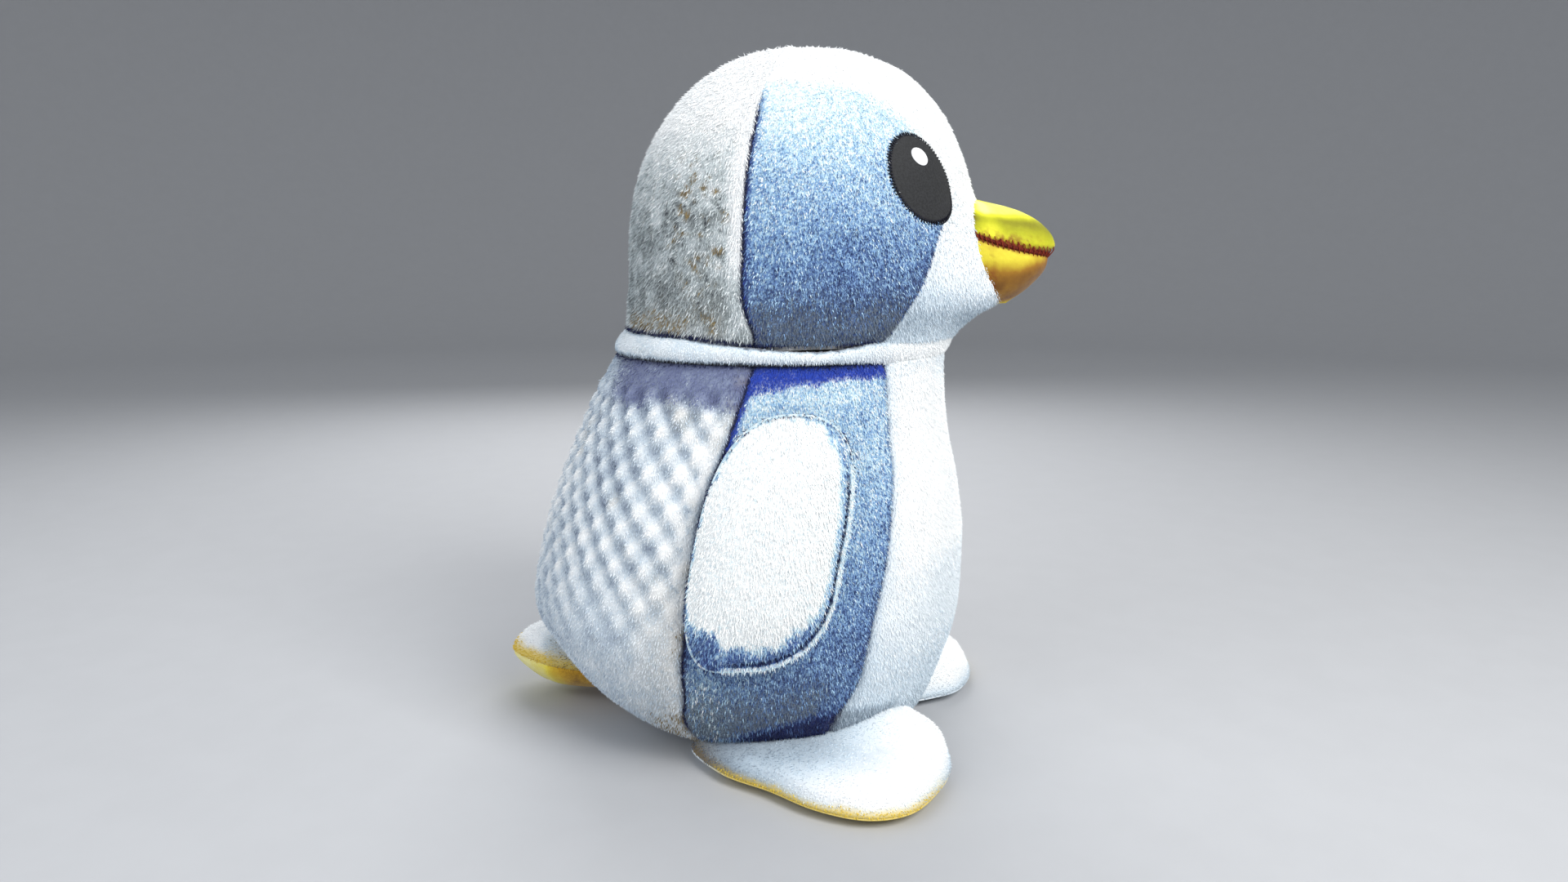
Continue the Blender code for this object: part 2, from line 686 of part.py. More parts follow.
def make_tail():
    shares = [0, 0.2, 0.4, 0.6, 0.8, 0.92, 1]
    seam_gap = 0.02
    halves = (("tail_upper", 0.0, "cream_fleece"), ("tail_lower", math.pi, "yellow_fleece"))
    for name, start, material in halves:
        turns = [start + seam_gap + (math.pi - 2 * seam_gap) * j / 10 for j in range(11)]
        outer = [[tail_point(share, turn) for turn in turns] for share in shares]
        inner = [[tail_inside(share, turn, THIN_CLOTH) for turn in turns] for share in shares]
        lift = Vector((0, 0, GAP if start == 0.0 else 0.0))
        for grid in (outer, inner):
            for row in grid:
                for point in row:
                    point += lift
        closed_layer(name, outer, inner, material)
    turns = [2 * math.pi * j / 20 for j in range(20)]
    rings = [[tail_inside(share, turn, THIN_CLOTH + 0.7 * MM) for turn in turns] for share in shares[:-1]]
    closed_loft("tail_stuffing", rings, "fibrefill")


def main():
    clear_scene()
    make_torso_panels()
    make_base_panel()
    make_neck_band()
    make_head_panels()
    make_stuffing()
    make_eyes()
    make_beak()
    make_flippers()
    make_feet()
    make_tail()


main()
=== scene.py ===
# Stuffed toy penguin: sewn plush panels, felted beak, flippers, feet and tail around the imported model.
import itertools
import json
import math

import bmesh
import bpy
import numpy as np
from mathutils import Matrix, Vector


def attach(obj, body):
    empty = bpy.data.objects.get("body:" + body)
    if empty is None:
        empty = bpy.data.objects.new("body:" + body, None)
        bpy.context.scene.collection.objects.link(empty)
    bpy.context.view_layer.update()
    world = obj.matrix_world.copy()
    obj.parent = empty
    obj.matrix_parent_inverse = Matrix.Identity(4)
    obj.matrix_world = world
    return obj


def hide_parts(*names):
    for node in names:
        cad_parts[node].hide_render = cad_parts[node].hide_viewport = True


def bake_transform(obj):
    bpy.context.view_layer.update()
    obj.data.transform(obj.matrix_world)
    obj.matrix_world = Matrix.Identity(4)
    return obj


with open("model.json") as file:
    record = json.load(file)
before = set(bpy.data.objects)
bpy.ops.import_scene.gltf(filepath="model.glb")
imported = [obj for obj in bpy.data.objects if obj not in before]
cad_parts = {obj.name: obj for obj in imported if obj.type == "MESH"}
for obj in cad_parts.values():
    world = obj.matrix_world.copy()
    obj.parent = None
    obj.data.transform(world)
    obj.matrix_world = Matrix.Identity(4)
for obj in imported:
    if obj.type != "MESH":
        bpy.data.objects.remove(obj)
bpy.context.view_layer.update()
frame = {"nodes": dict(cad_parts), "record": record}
mm = 0.001


# ---- small maths on whole arrays, all lengths in millimetres

def smoothCurve(stations, column, at):
    # monotone cubic through the stations: first column is the place, the chosen one is the value
    x = np.array([row[0] for row in stations], float)
    y = np.array([row[column] for row in stations], float)
    run = np.diff(x)
    slope = np.diff(y) / run
    tangent = np.zeros_like(x)
    tangent[0], tangent[-1] = slope[0], slope[-1]
    first, second = 2 * run[1:] + run[:-1], run[1:] + 2 * run[:-1]
    same = slope[:-1] * slope[1:] > 0
    low, high = np.where(same, slope[:-1], 1), np.where(same, slope[1:], 1)
    tangent[1:-1] = np.where(same, (first + second) / (first / low + second / high), 0)
    at = np.clip(np.asarray(at, float), x[0], x[-1])
    i = np.clip(np.searchsorted(x, at, side="right") - 1, 0, len(x) - 2)
    t = (at - x[i]) / run[i]
    ends = (2 * t**3 - 3 * t**2 + 1) * y[i] + (3 * t**2 - 2 * t**3) * y[i + 1]
    return ends + run[i] * ((t**3 - 2 * t**2 + t) * tangent[i] + (t**3 - t**2) * tangent[i + 1])


def ease(value, low, high):
    t = np.clip((np.asarray(value, float) - low) / (high - low), 0, 1)
    return t * t * (3 - 2 * t)


def hump(value, middle, width):
    return np.exp(-(((np.asarray(value, float) - middle) / width) ** 2))


def cloud(points, size, seed=0):
    # smooth value noise from 0 to 1, with lumps of about the given size
    place = np.asarray(points, float) / size
    cell = np.floor(place).astype(np.int64)
    part = place - cell
    part = part * part * (3 - 2 * part)
    total = np.zeros(place.shape[:-1])
    for corner in itertools.product((0, 1), repeat=3):
        c = cell + corner
        key = (c[..., 0] * 73856093) ^ (c[..., 1] * 19349663) ^ (c[..., 2] * 83492791) ^ (seed * 50331653 + 17)
        key = (key * 1103515245 + 12345) & 0x7FFFFFFF
        key = ((key >> 7) ^ key) * 69069 & 0x7FFFFFFF
        weight = np.prod(np.where(corner, part, 1 - part), axis=-1)
        total += weight * key / 0x7FFFFFFF
    return total


def layered(points, size, seed=0):
    return (cloud(points, size, seed) * 4 + cloud(points, size / 2, seed + 1) * 2 + cloud(points, size / 4, seed + 2)) / 7


def unit(vectors):
    return vectors / np.maximum(np.linalg.norm(vectors, axis=-1, keepdims=True), 1e-9)


# ---- the toy's form: horizontal rings (height, reach to the front, reach to the back, half width)

form = {
    "torso": [
        (0, 46, 39, 29), (5, 55, 59, 52), (16, 63, 79, 67), (34, 70, 97.5, 79), (58, 76, 110.5, 86),
        (84, 77, 105, 84), (110, 74, 96, 80), (135, 69, 85, 74), (163, 67, 71, 68),
    ],
    "head": [
        (163, 67, 71, 68), (172, 71, 66.5, 68), (192, 76, 64, 69), (210, 77.5, 63.5, 69), (230, 75.5, 60.5, 66),
        (248, 70, 53.5, 59), (264, 60, 42, 48), (275, 47, 28, 36), (281.7, 29.5, 12, 20), (284, 8.5, -8.5, 0),
    ],
    "neck": 163, "crown": 284,
    "muzzleReach": 17, "muzzleHeight": 189, "muzzleAbove": 24.5, "muzzleBelow": 12, "muzzleSpread": 24,
}

# seams between the panels: height, and the angle round from the front in degrees
seams = {
    "torsoBack": [(0, 106), (14, 102), (40, 92.5), (64, 89.7), (106, 90.3), (135, 86.3), (163, 83.8)],
    "belly": [(0, 62), (24, 53.5), (40, 47), (64, 44.3), (103, 39.7), (127, 37.1), (145, 38.2), (163, 40)],
    "headBack": [(163, 86), (172, 87.4), (183, 92.3), (194, 94.2), (284, 94.5)],
    "mask": [
        (163, 47), (178, 41.8), (191, 36.8), (203, 33.8), (212, 30.4), (219, 26.5), (226, 24.5), (240, 28.5), (257, 43),
        (263, 55), (266.5, 94.5),
    ],
}
maskTop = 266.5
# how high the feet meet the body: distance forward, height
footCrease = [(-30, 9), (-10, 12), (13, 20), (33, 25), (43, 26), (53, 25), (80, 22)]


def byLength(stations):
    rows = [(0.0, *stations[0])]
    for before, after in zip(stations, stations[1:]):
        rows.append((rows[-1][0] + math.dist(before[:2], after[:2]), *after))
    return rows


def profileTable():
    # the rings from the floor to the crown, with the length run along the skin beside each
    low = np.linspace(0, form["neck"], 400)
    torso = np.stack([low] + [smoothCurve(form["torso"], c, low) for c in (1, 2, 3)], axis=1)
    headCurve = byLength(form["head"])
    up = np.linspace(0, headCurve[-1][0], 600)[1:]
    head = np.stack([smoothCurve(headCurve, c, up) for c in (1, 2, 3, 4)], axis=1)
    rings = np.concatenate([torso, head])
    step = np.diff(rings, axis=0)
    sideways = np.abs(step[:, 1:]).mean(axis=1)
    run = np.concatenate([[0], np.cumsum(np.hypot(step[:, 0], sideways))])
    return run, rings


skinRun, skinRings = profileTable()


def runAt(height):
    return np.interp(height, skinRings[:, 0], skinRun)


def heightAt(run):
    return np.interp(run, skinRun, skinRings[:, 0])


def skinPoint(around, run):
    # a point of the skin from the angle round the toy and the length run up it
    height, front, back, half = (np.interp(run, skinRun, skinRings[:, c]) for c in range(4))
    turn = (around + math.pi) % (2 * math.pi) - math.pi
    rise = height - form["muzzleHeight"]
    width = np.where(rise > 0, form["muzzleAbove"], form["muzzleBelow"])
    bulge = form["muzzleReach"] * np.exp(-((turn / math.radians(form["muzzleSpread"])) ** 2)) * np.exp(-((rise / width) ** 2))
    bulge = np.where(height > form["neck"], bulge, 0)
    x = -half * np.sin(around)
    y = -(front - back) / 2 - (front + back) / 2 * np.cos(around) - bulge
    return np.stack(np.broadcast_arrays(x, y, height), axis=-1)


def seamAt(name, height):
    return np.radians(smoothCurve(seams[name], 1, height))


def gridNormals(points, ring=False):
    if ring:
        across = np.roll(points, -1, axis=1) - np.roll(points, 1, axis=1)
    else:
        across = np.gradient(points, axis=1)
    up = np.gradient(points, axis=0)
    return unit(np.cross(up, across))


# ---- cloth simulation on coarse closed skins, read back as moves that the fine grids follow

clothLook = {"frames": 20, "pressure": 4.0, "tension": 12, "shear": 4, "bending": 0.6, "massKg": 0.15, "quality": 4}


def spline(t):
    return np.stack([
        -t**3 + 2 * t**2 - t, 3 * t**3 - 5 * t**2 + 2, -3 * t**3 + 4 * t**2 + t, t**3 - t**2,
    ]) / 2


def readMoves(moves, row, column, ring=False):
    # the coarse grid's moves, read smoothly at any row and column
    rows, columns = moves.shape[:2]
    r0, c0 = np.floor(row).astype(int), np.floor(column).astype(int)
    down, along = spline(row - r0), spline(column - c0)
    total = 0
    for i, j in itertools.product(range(4), range(4)):
        r = np.clip(r0 + i - 1, 0, rows - 1)
        c = (c0 + j - 1) % columns if ring else np.clip(c0 + j - 1, 0, columns - 1)
        total = total + (down[i] * along[j])[..., None] * moves[r, c]
    return total


def puffed(name, grids, pins, limit, pressure=1.0, inset=0.8):
    # grids: arrays of points, each with a flag for a closed ring; they meet where points coincide
    flat = np.concatenate([points.reshape(-1, 3) for points, ring in grids])
    keys, first, index = np.unique(np.round(flat, 2), axis=0, return_index=True, return_inverse=True)
    index = index.reshape(-1)
    places = flat[first]
    hold = np.zeros(len(places))
    np.maximum.at(hold, index, np.concatenate([p.reshape(-1) for p in pins]))
    faces, start = [], 0
    for points, ring in grids:
        rows, columns = points.shape[:2]
        for i in range(rows - 1):
            for j in range(columns if ring else columns - 1):
                k = (j + 1) % columns
                corners = [start + i * columns + j, start + (i + 1) * columns + j, start + (i + 1) * columns + k,
                           start + i * columns + k]
                corners = [int(index[c]) for c in corners]
                corners = [c for n, c in enumerate(corners) if c not in corners[:n]]
                if len(corners) > 2:
                    faces.append(corners)
        start += rows * columns
    mesh = bpy.data.meshes.new(name + "Slack")
    mesh.from_pydata([Vector(p) * mm for p in places], [], faces)
    shape = bmesh.new()
    shape.from_mesh(mesh)
    holes = [edge for edge in shape.edges if edge.is_boundary]
    bmesh.ops.holes_fill(shape, edges=holes, sides=0)
    bmesh.ops.recalc_face_normals(shape, faces=shape.faces)
    shape.normal_update()
    for vertex in shape.verts:
        vertex.co -= vertex.normal * inset * mm * (1 - hold[vertex.index])
    shape.to_mesh(mesh)
    shape.free()
    slack = bpy.data.objects.new(name + "Slack", mesh)
    bpy.context.scene.collection.objects.link(slack)
    group = slack.vertex_groups.new(name="sewn")
    for i, weight in enumerate(hold):
        group.add([i], float(weight), "REPLACE")
    cloth = slack.modifiers.new("cloth", "CLOTH")
    settings = cloth.settings
    settings.quality = clothLook["quality"]
    settings.mass = clothLook["massKg"]
    settings.tension_stiffness = settings.compression_stiffness = clothLook["tension"]
    settings.shear_stiffness = clothLook["shear"]
    settings.bending_stiffness = clothLook["bending"]
    settings.use_pressure = True
    settings.uniform_pressure_force = clothLook["pressure"] * pressure
    settings.vertex_group_mass = "sewn"
    settings.effector_weights.gravity = 0
    cloth.point_cache.frame_start, cloth.point_cache.frame_end = 1, clothLook["frames"]
    for step in range(1, clothLook["frames"] + 1):
        bpy.context.scene.frame_set(step)
    final = slack.evaluated_get(bpy.context.evaluated_depsgraph_get()).to_mesh()
    moved = np.empty(len(final.vertices) * 3, np.float32)
    final.vertices.foreach_get("co", moved)
    moved = moved.reshape(-1, 3)[:len(places)].astype(float) / mm
    slack.modifiers.clear()
    bpy.data.objects.remove(slack)
    bpy.context.scene.frame_set(1)
    move = np.nan_to_num(moved - places)
    size = np.linalg.norm(move, axis=1, keepdims=True)
    move *= np.minimum(1, limit / np.maximum(size, 1e-6))
    print(f"{name}: cloth moved by {size.mean():.2f} mm on average, {size.max():.2f} mm at most, kept to {limit} mm")
    out, start = [], 0
    for points, ring in grids:
        count = points.shape[0] * points.shape[1]
        out.append(move[index[start:start + count]].reshape(points.shape))
        start += count
    return out


# ---- meshes from fine grids

def makeMesh(name, shells, inside, body):
    # shells: grids of points with attributes; each gets an inner layer and a closed edge
    places, faces, values, outer = [], [], {}, []
    start = 0
    for shell in shells:
        points, ring, thick = shell["points"], shell.get("ring", False), shell.get("thick", 1.4)
        rows, columns = points.shape[:2]
        normals = shell.get("normals")
        if normals is None:
            normals = gridNormals(points, ring)
        facing = np.sum(normals * (points - np.array(inside, float)), axis=-1)
        flip = np.nanmean(facing) < 0
        if flip:
            normals = -normals
        layers = [points, points - normals * thick]
        number = np.arange(rows * columns).reshape(rows, columns)
        if ring:
            number = np.concatenate([number, number[:, :1]], axis=1)
        quads = np.stack([number[:-1, :-1], number[1:, :-1], number[1:, 1:], number[:-1, 1:]], axis=-1).reshape(-1, 4)
        top, under = quads + start, quads[:, ::-1] + start + rows * columns
        edges = [(number[0, :-1], number[0, 1:]), (number[-1, 1:], number[-1, :-1])]
        if not ring:
            edges += [(number[1:, 0], number[:-1, 0]), (number[:-1, -1], number[1:, -1])]
        rims = [np.stack([a, b, b + rows * columns, a + rows * columns], axis=-1) + start for a, b in edges]
        block = np.concatenate([top, under] + rims)
        faces.append(block[:, ::-1] if flip else block)
        places += [layer.reshape(-1, 3) for layer in layers]
        outer += [np.ones(rows * columns), np.zeros(rows * columns)]
        for key, value in shell["values"].items():
            value = np.broadcast_to(value, (rows, columns)).reshape(-1)
            values.setdefault(key, []).extend([value, value])
        start += 2 * rows * columns
    places = np.concatenate(places) * mm
    faces = np.concatenate(faces)
    mesh = bpy.data.meshes.new(name)
    mesh.from_pydata(places.tolist(), [], faces.tolist())
    values["outerSide"] = outer
    for key, value in values.items():
        made = mesh.attributes.new(key, "FLOAT", "POINT")
        made.data.foreach_set("value", np.concatenate(value).astype(np.float32))
    mesh.update()
    mesh.shade_smooth()
    piece = bpy.data.objects.new(name, mesh)
    bpy.context.scene.collection.objects.link(piece)
    closed = bmesh.new()
    closed.from_mesh(mesh)
    bmesh.ops.remove_doubles(closed, verts=closed.verts, dist=0.004 * mm)
    bmesh.ops.dissolve_degenerate(closed, edges=closed.edges, dist=0.002 * mm)
    closed.to_mesh(mesh)
    closed.free()
    if body:
        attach(piece, body)
    return piece


# ---- shader building

class Wire:
    # one socket of a node tree, so that shader maths reads as plain arithmetic
    def __init__(self, shop, socket):
        self.shop = shop
        self.socket = socket

    def maths(self, operation, *others, clamp=False):
        return self.shop.node("ShaderNodeMath", {"operation": operation, "use_clamp": clamp}, [self, *others])

    def __add__(self, other):
        return self.maths("ADD", other)

    def __sub__(self, other):
        return self.maths("SUBTRACT", other)

    def __mul__(self, other):
        return self.maths("MULTIPLY", other)

    def __truediv__(self, other):
        return self.maths("DIVIDE", other)

    def __rsub__(self, other):
        return self.shop.node("ShaderNodeMath", {"operation": "SUBTRACT"}, [other, self])

    __radd__ = __add__
    __rmul__ = __mul__

    def between(self, low, high):
        # eased from 0 at low to 1 at high
        settings = {"interpolation_type": "SMOOTHSTEP", "clamp": True}
        return self.shop.node("ShaderNodeMapRange", settings, {"Value": self, "From Min": low, "From Max": high})


class Bench:
    # any node tree: node() adds one node, sets it and wires it
    def __init__(self, tree):
        self.tree = tree

    def node(self, kind, settings=None, values=(), out=0):
        made = self.tree.nodes.new(kind)
        for key, value in (settings or {}).items():
            if key == "stops":
                ramp = made.color_ramp
                while len(ramp.elements) < len(value):
                    ramp.elements.new(1)
                for stop, (place, colour) in zip(ramp.elements, value):
                    stop.position = place
                    stop.color = (*colour, 1)
            else:
                setattr(made, key, value)
        pairs = values.items() if isinstance(values, dict) else enumerate(values)
        for key, value in pairs:
            self.join(made.inputs[key], value)
        return Wire(self, made.outputs[out])

    def join(self, socket, value):
        if isinstance(value, Wire):
            self.tree.links.new(value.socket, socket)
        elif socket.type == "RGBA" and len(value) == 3:
            socket.default_value = (*value, 1)
        else:
            socket.default_value = value


class Shop(Bench):
    # one material's node tree and the shader that it ends in
    def __init__(self, name):
        self.material = bpy.data.materials.new(name)
        self.material.use_nodes = True
        super().__init__(self.material.node_tree)
        self.shader = self.tree.nodes["Principled BSDF"]

    def mixed(self, share, first, second, blend="MIX"):
        values = {0: share, 6: first, 7: second}
        return self.node("ShaderNodeMix", {"data_type": "RGBA", "blend_type": blend, "clamp_factor": True}, values, out=2)

    def attribute(self, name):
        return self.node("ShaderNodeAttribute", {"attribute_name": name}, out="Fac")

    def noise(self, scale, detail=2.0, rough=0.5, vector=None):
        values = {"Vector": vector or self.place(), "Scale": scale, "Detail": detail, "Roughness": rough}
        return self.node("ShaderNodeTexNoise", None, values)

    def place(self):
        return self.node("ShaderNodeTexCoord", None, out="Object")

    def stretched(self, scale):
        return self.node("ShaderNodeMapping", None, {"Vector": self.place(), "Scale": scale})

    def finish(self, colour, roughness, normal, gloss=0.2, sheen=0.0):
        sockets = {
            "Base Color": colour, "Roughness": roughness, "Normal": normal, "Specular IOR Level": gloss,
            "Sheen Weight": sheen, "Sheen Roughness": 0.45,
        }
        for key, value in sockets.items():
            self.join(self.shader.inputs[key], value)
        return self.material


class Jig(Bench):
    # one Geometry Nodes tree with named inputs, run on a piece to give a plain mesh
    def __init__(self, name, inputs):
        super().__init__(bpy.data.node_groups.new(name, "GeometryNodeTree"))
        face = self.tree.interface
        face.new_socket("Geometry", in_out="INPUT", socket_type="NodeSocketGeometry")
        face.new_socket("Geometry", in_out="OUTPUT", socket_type="NodeSocketGeometry")
        self.keys = {key: face.new_socket(key, in_out="INPUT", socket_type=kind).identifier for key, kind in inputs.items()}
        self.source = self.tree.nodes.new("NodeGroupInput")
        self.result = self.tree.nodes.new("NodeGroupOutput")

    def given(self, name):
        return Wire(self, self.source.outputs[name])

    def vector(self, operation, *values, out=0):
        pairs = {("Scale" if operation == "SCALE" and i == 1 else i): value for i, value in enumerate(values)}
        return self.node("ShaderNodeVectorMath", {"operation": operation}, pairs, out)

    def field(self, name):
        return self.node("GeometryNodeInputNamedAttribute", {"data_type": "FLOAT"}, {"Name": name})

    def chance(self, low, high, seed):
        values = {2: low, 3: high, "Seed": seed}
        return self.node("FunctionNodeRandomValue", {"data_type": "FLOAT"}, values, 1)

    def run(self, name, source, settings):
        work = source.copy()
        bpy.context.scene.collection.objects.link(work)
        modifier = work.modifiers.new("jig", "NODES")
        modifier.node_group = self.tree
        for key, value in settings.items():
            modifier[self.keys[key]] = value
        seen = work.evaluated_get(bpy.context.evaluated_depsgraph_get())
        mesh = bpy.data.meshes.new_from_object(seen)
        mesh.name = name
        bpy.data.objects.remove(work)
        made = bpy.data.objects.new(name, mesh)
        bpy.context.scene.collection.objects.link(made)
        return made


plushStops = {
    "blue": [
        (0.0, (0.93, 0.95, 0.95)), (0.18, (0.62, 0.79, 0.86)), (0.38, (0.33, 0.54, 0.75)),
        (0.55, (0.17, 0.30, 0.57)), (0.75, (0.055, 0.10, 0.26)), (1.0, (0.018, 0.03, 0.09)),
    ],
    "white": [
        (0.0, (0.93, 0.945, 0.95)), (0.3, (0.68, 0.77, 0.84)), (0.55, (0.44, 0.53, 0.61)),
        (0.78, (0.22, 0.26, 0.31)), (1.0, (0.07, 0.08, 0.13)),
    ],
    "silver": [
        (0.0, (0.93, 0.945, 0.95)), (0.3, (0.62, 0.70, 0.77)), (0.55, (0.37, 0.44, 0.54)),
        (0.8, (0.15, 0.17, 0.25)), (1.0, (0.04, 0.045, 0.09)),
    ],
    "streaked": [
        (0.0, (0.93, 0.945, 0.95)), (0.3, (0.62, 0.68, 0.70)), (0.55, (0.33, 0.37, 0.38)),
        (0.8, (0.12, 0.135, 0.145)), (1.0, (0.035, 0.04, 0.06)),
    ],
    "yellow": [
        (0.0, (0.88, 0.86, 0.52)), (0.3, (0.84, 0.70, 0.08)), (0.6, (0.62, 0.36, 0.03)),
        (0.85, (0.22, 0.10, 0.02)), (1.0, (0.05, 0.03, 0.02)),
    ],
}
# the bluish-grey tint used under the collar is painted shadow; the line tint is dark seam thread and also carries
# painted shadow lines along the collar and the foot crease
tints = {
    "royal": (0.025, 0.062, 0.42), "stain": (0.27, 0.205, 0.10), "yellow": (0.78, 0.57, 0.06),
    "slate": (0.14, 0.175, 0.22), "lavender": (0.17, 0.20, 0.35), "line": (0.012, 0.018, 0.075),
}


def clothMaterial(name, look):
    # plush, fleece or felt: the tone attribute chooses the colour, and grain moves the tone about
    shop = Shop(name)
    grain = shop.noise(look["grainPerMetre"], 3.0, 0.65)
    coarse = shop.noise(look["grainPerMetre"] * 0.3, 2.0, 0.5)
    speck = (grain - 0.5) * look["speckle"] + (coarse - 0.5) * (look["speckle"] * 0.45)
    tone = shop.attribute("tone")
    lively = tone.between(-0.25, 0.35) * look.get("toneSpeckle", 1.0)
    shade = tone + speck * lively
    colour = shop.node("ShaderNodeValToRGB", {"stops": plushStops[look["stops"]]}, [shade])
    for key in look.get("tints", ()):
        share = (shop.attribute(key) + speck * 0.5 * shop.attribute(key).between(0, 0.3)).maths("MINIMUM", 1.0)
        colour = shop.mixed(share, colour, tints[key])
    streak = shop.noise(look["streakPerMetre"], 3.0, 0.6, shop.stretched((1, 1, 0.28)))
    fine = shop.noise(look["grainPerMetre"] * 1.9, 2.0, 0.6)
    relief = grain * look["grainRelief"] + streak * look["streakRelief"] + fine * (look["grainRelief"] * 0.5)
    bump = shop.node("ShaderNodeBump", None, {"Strength": look["bump"], "Distance": 0.0012, "Height": relief})
    rough = grain * 0.12 + look["rough"]
    return shop.finish(colour, rough, bump, gloss=0.15, sheen=look["sheen"])


def plainMaterial(name, colour, rough, bumpScale=900, bump=0.3, vary=0.25, sheen=0.0):
    shop = Shop(name)
    grain = shop.noise(bumpScale, 3.0, 0.6)
    dark = tuple(c * (1 - vary) for c in colour)
    light = tuple(min(1, c * (1 + vary)) for c in colour)
    tinted = shop.mixed(grain.between(0.3, 0.7), dark, light)
    relief = shop.node("ShaderNodeBump", None, {"Strength": bump, "Distance": 0.0006, "Height": grain})
    return shop.finish(tinted, grain * 0.15 + rough, relief, gloss=0.25, sheen=sheen)


plushLook = {
    "grainPerMetre": 1300, "speckle": 0.85, "streakPerMetre": 420, "grainRelief": 0.8, "streakRelief": 0.3,
    "bump": 0.55, "rough": 0.82, "sheen": 0.25, "stops": "white",
}
cloths = {
    "bluePlush": clothMaterial("bluePlush", {**plushLook, "stops": "blue", "tints": ("slate", "royal", "stain", "line"), "speckle": 1.5}),
    "whitePlush": clothMaterial("whitePlush", {**plushLook, "speckle": 0.3, "tints": ("stain", "line"), "bump": 0.4}),
    "silverMinky": clothMaterial("silverMinky", {**plushLook, "stops": "silver", "speckle": 0.5, "tints": ("lavender", "stain", "line")}),
    "streakedFur": clothMaterial("streakedFur", {**plushLook, "stops": "streaked", "speckle": 0.75, "tints": ("stain", "line"),
                                                 "streakRelief": 0.9, "bump": 0.75}),
    "footFleece": clothMaterial("footFleece", {**plushLook, "speckle": 0.2, "tints": ("yellow", "stain"), "bump": 0.25}),
    "yellowFleece": clothMaterial("yellowFleece", {**plushLook, "stops": "yellow", "speckle": 0.3, "bump": 0.25}),
}
print("materials made")


# ---- the skin of body and head, blown up by cloth simulation between its seams

skinLook = {"frontColumns": 10, "sideColumns": 10, "backColumns": 16, "rowLength": 4.4, "limit": 2.2, "neckHold": 4.5}
neckBlend = (158, 168)
halfColumns = skinLook["frontColumns"] + skinLook["sideColumns"] + skinLook["backColumns"]


def skinAnchors(height):
    up = ease(height, *neckBlend)
    front = seamAt("belly", height) * (1 - up) + np.minimum(seamAt("mask", height), math.radians(60)) * up
    back = seamAt("torsoBack", height) * (1 - up) + seamAt("headBack", height) * up
    return front, back


def columnOf(around, height):
    # the simulated grid's column for an angle, counted both ways from the front
    turn = (around + math.pi) % (2 * math.pi) - math.pi
    size = np.abs(turn)
    front, back = skinAnchors(height)
    a, b, c = skinLook["frontColumns"], skinLook["sideColumns"], skinLook["backColumns"]
    inFront = a * size / front
    inSide = a + b * (size - front) / (back - front)
    inBack = a + b + c * (size - back) / (math.pi - back)
    column = np.where(size < front, inFront, np.where(size < back, inSide, inBack))
    return np.sign(turn) * column


def simulateSkin():
    rows = int(skinRun[-1] / skinLook["rowLength"])
    runs = np.linspace(0, skinRun[-1] * 0.992, rows)
    height = heightAt(runs)
    front, back = (value[:, None] for value in skinAnchors(height))
    count = np.arange(-halfColumns, halfColumns)[None, :]
    size = np.abs(count)
    a, b, c = skinLook["frontColumns"], skinLook["sideColumns"], skinLook["backColumns"]
    around = np.where(size < a, front * size / a, np.where(
        size < a + b, front + (back - front) * (size - a) / b, back + (math.pi - back) * (size - a - b) / c))
    around = around * np.sign(count)
    points = skinPoint(around, runs[:, None])
    tall = height[:, None] + 0 * around
    hold = np.zeros(around.shape)
    hold[:, (np.abs(count[0]) == a + b)] = 1
    hold[(tall < 222) & (size == a)] = 1
    hold[np.abs(tall - 165.5) < skinLook["neckHold"]] = 1
    hold[tall < 6] = 1
    hold[(np.abs(around) < math.radians(18)) & (tall > 180) & (tall < 226)] = 1
    hold = np.maximum(hold, 0.25)
    moves = puffed("skin", [(points, True)], [hold], skinLook["limit"])[0]
    return runs, moves


skinRows, skinMoves = simulateSkin()


def restingSkin(around, run):
    height = heightAt(run)
    row = np.interp(run, skinRows, np.arange(len(skinRows)))
    column = columnOf(around, height) + halfColumns
    return skinPoint(around, run) + readMoves(skinMoves, row, column, ring=True)


fineStep = 1.3
wrinkle = {"lump": 0.55, "lumpSize": 26, "ripple": 0.22, "rippleSize": 9, "seamDepth": 1.2, "seamWidth": 1.3,
           "shoulderDepth": 0.45, "shoulderWidth": 6.0}


def seamDip(distance):
    narrow = wrinkle["seamDepth"] * np.exp(-((distance / wrinkle["seamWidth"]) ** 2))
    return narrow + wrinkle["shoulderDepth"] * np.exp(-((distance / wrinkle["shoulderWidth"]) ** 2))


# neighbouring panels use the same rows, so that their edges meet
sharedRows = np.unique(np.append(np.arange(0, skinRun[-1], fineStep), runAt(maskTop)))


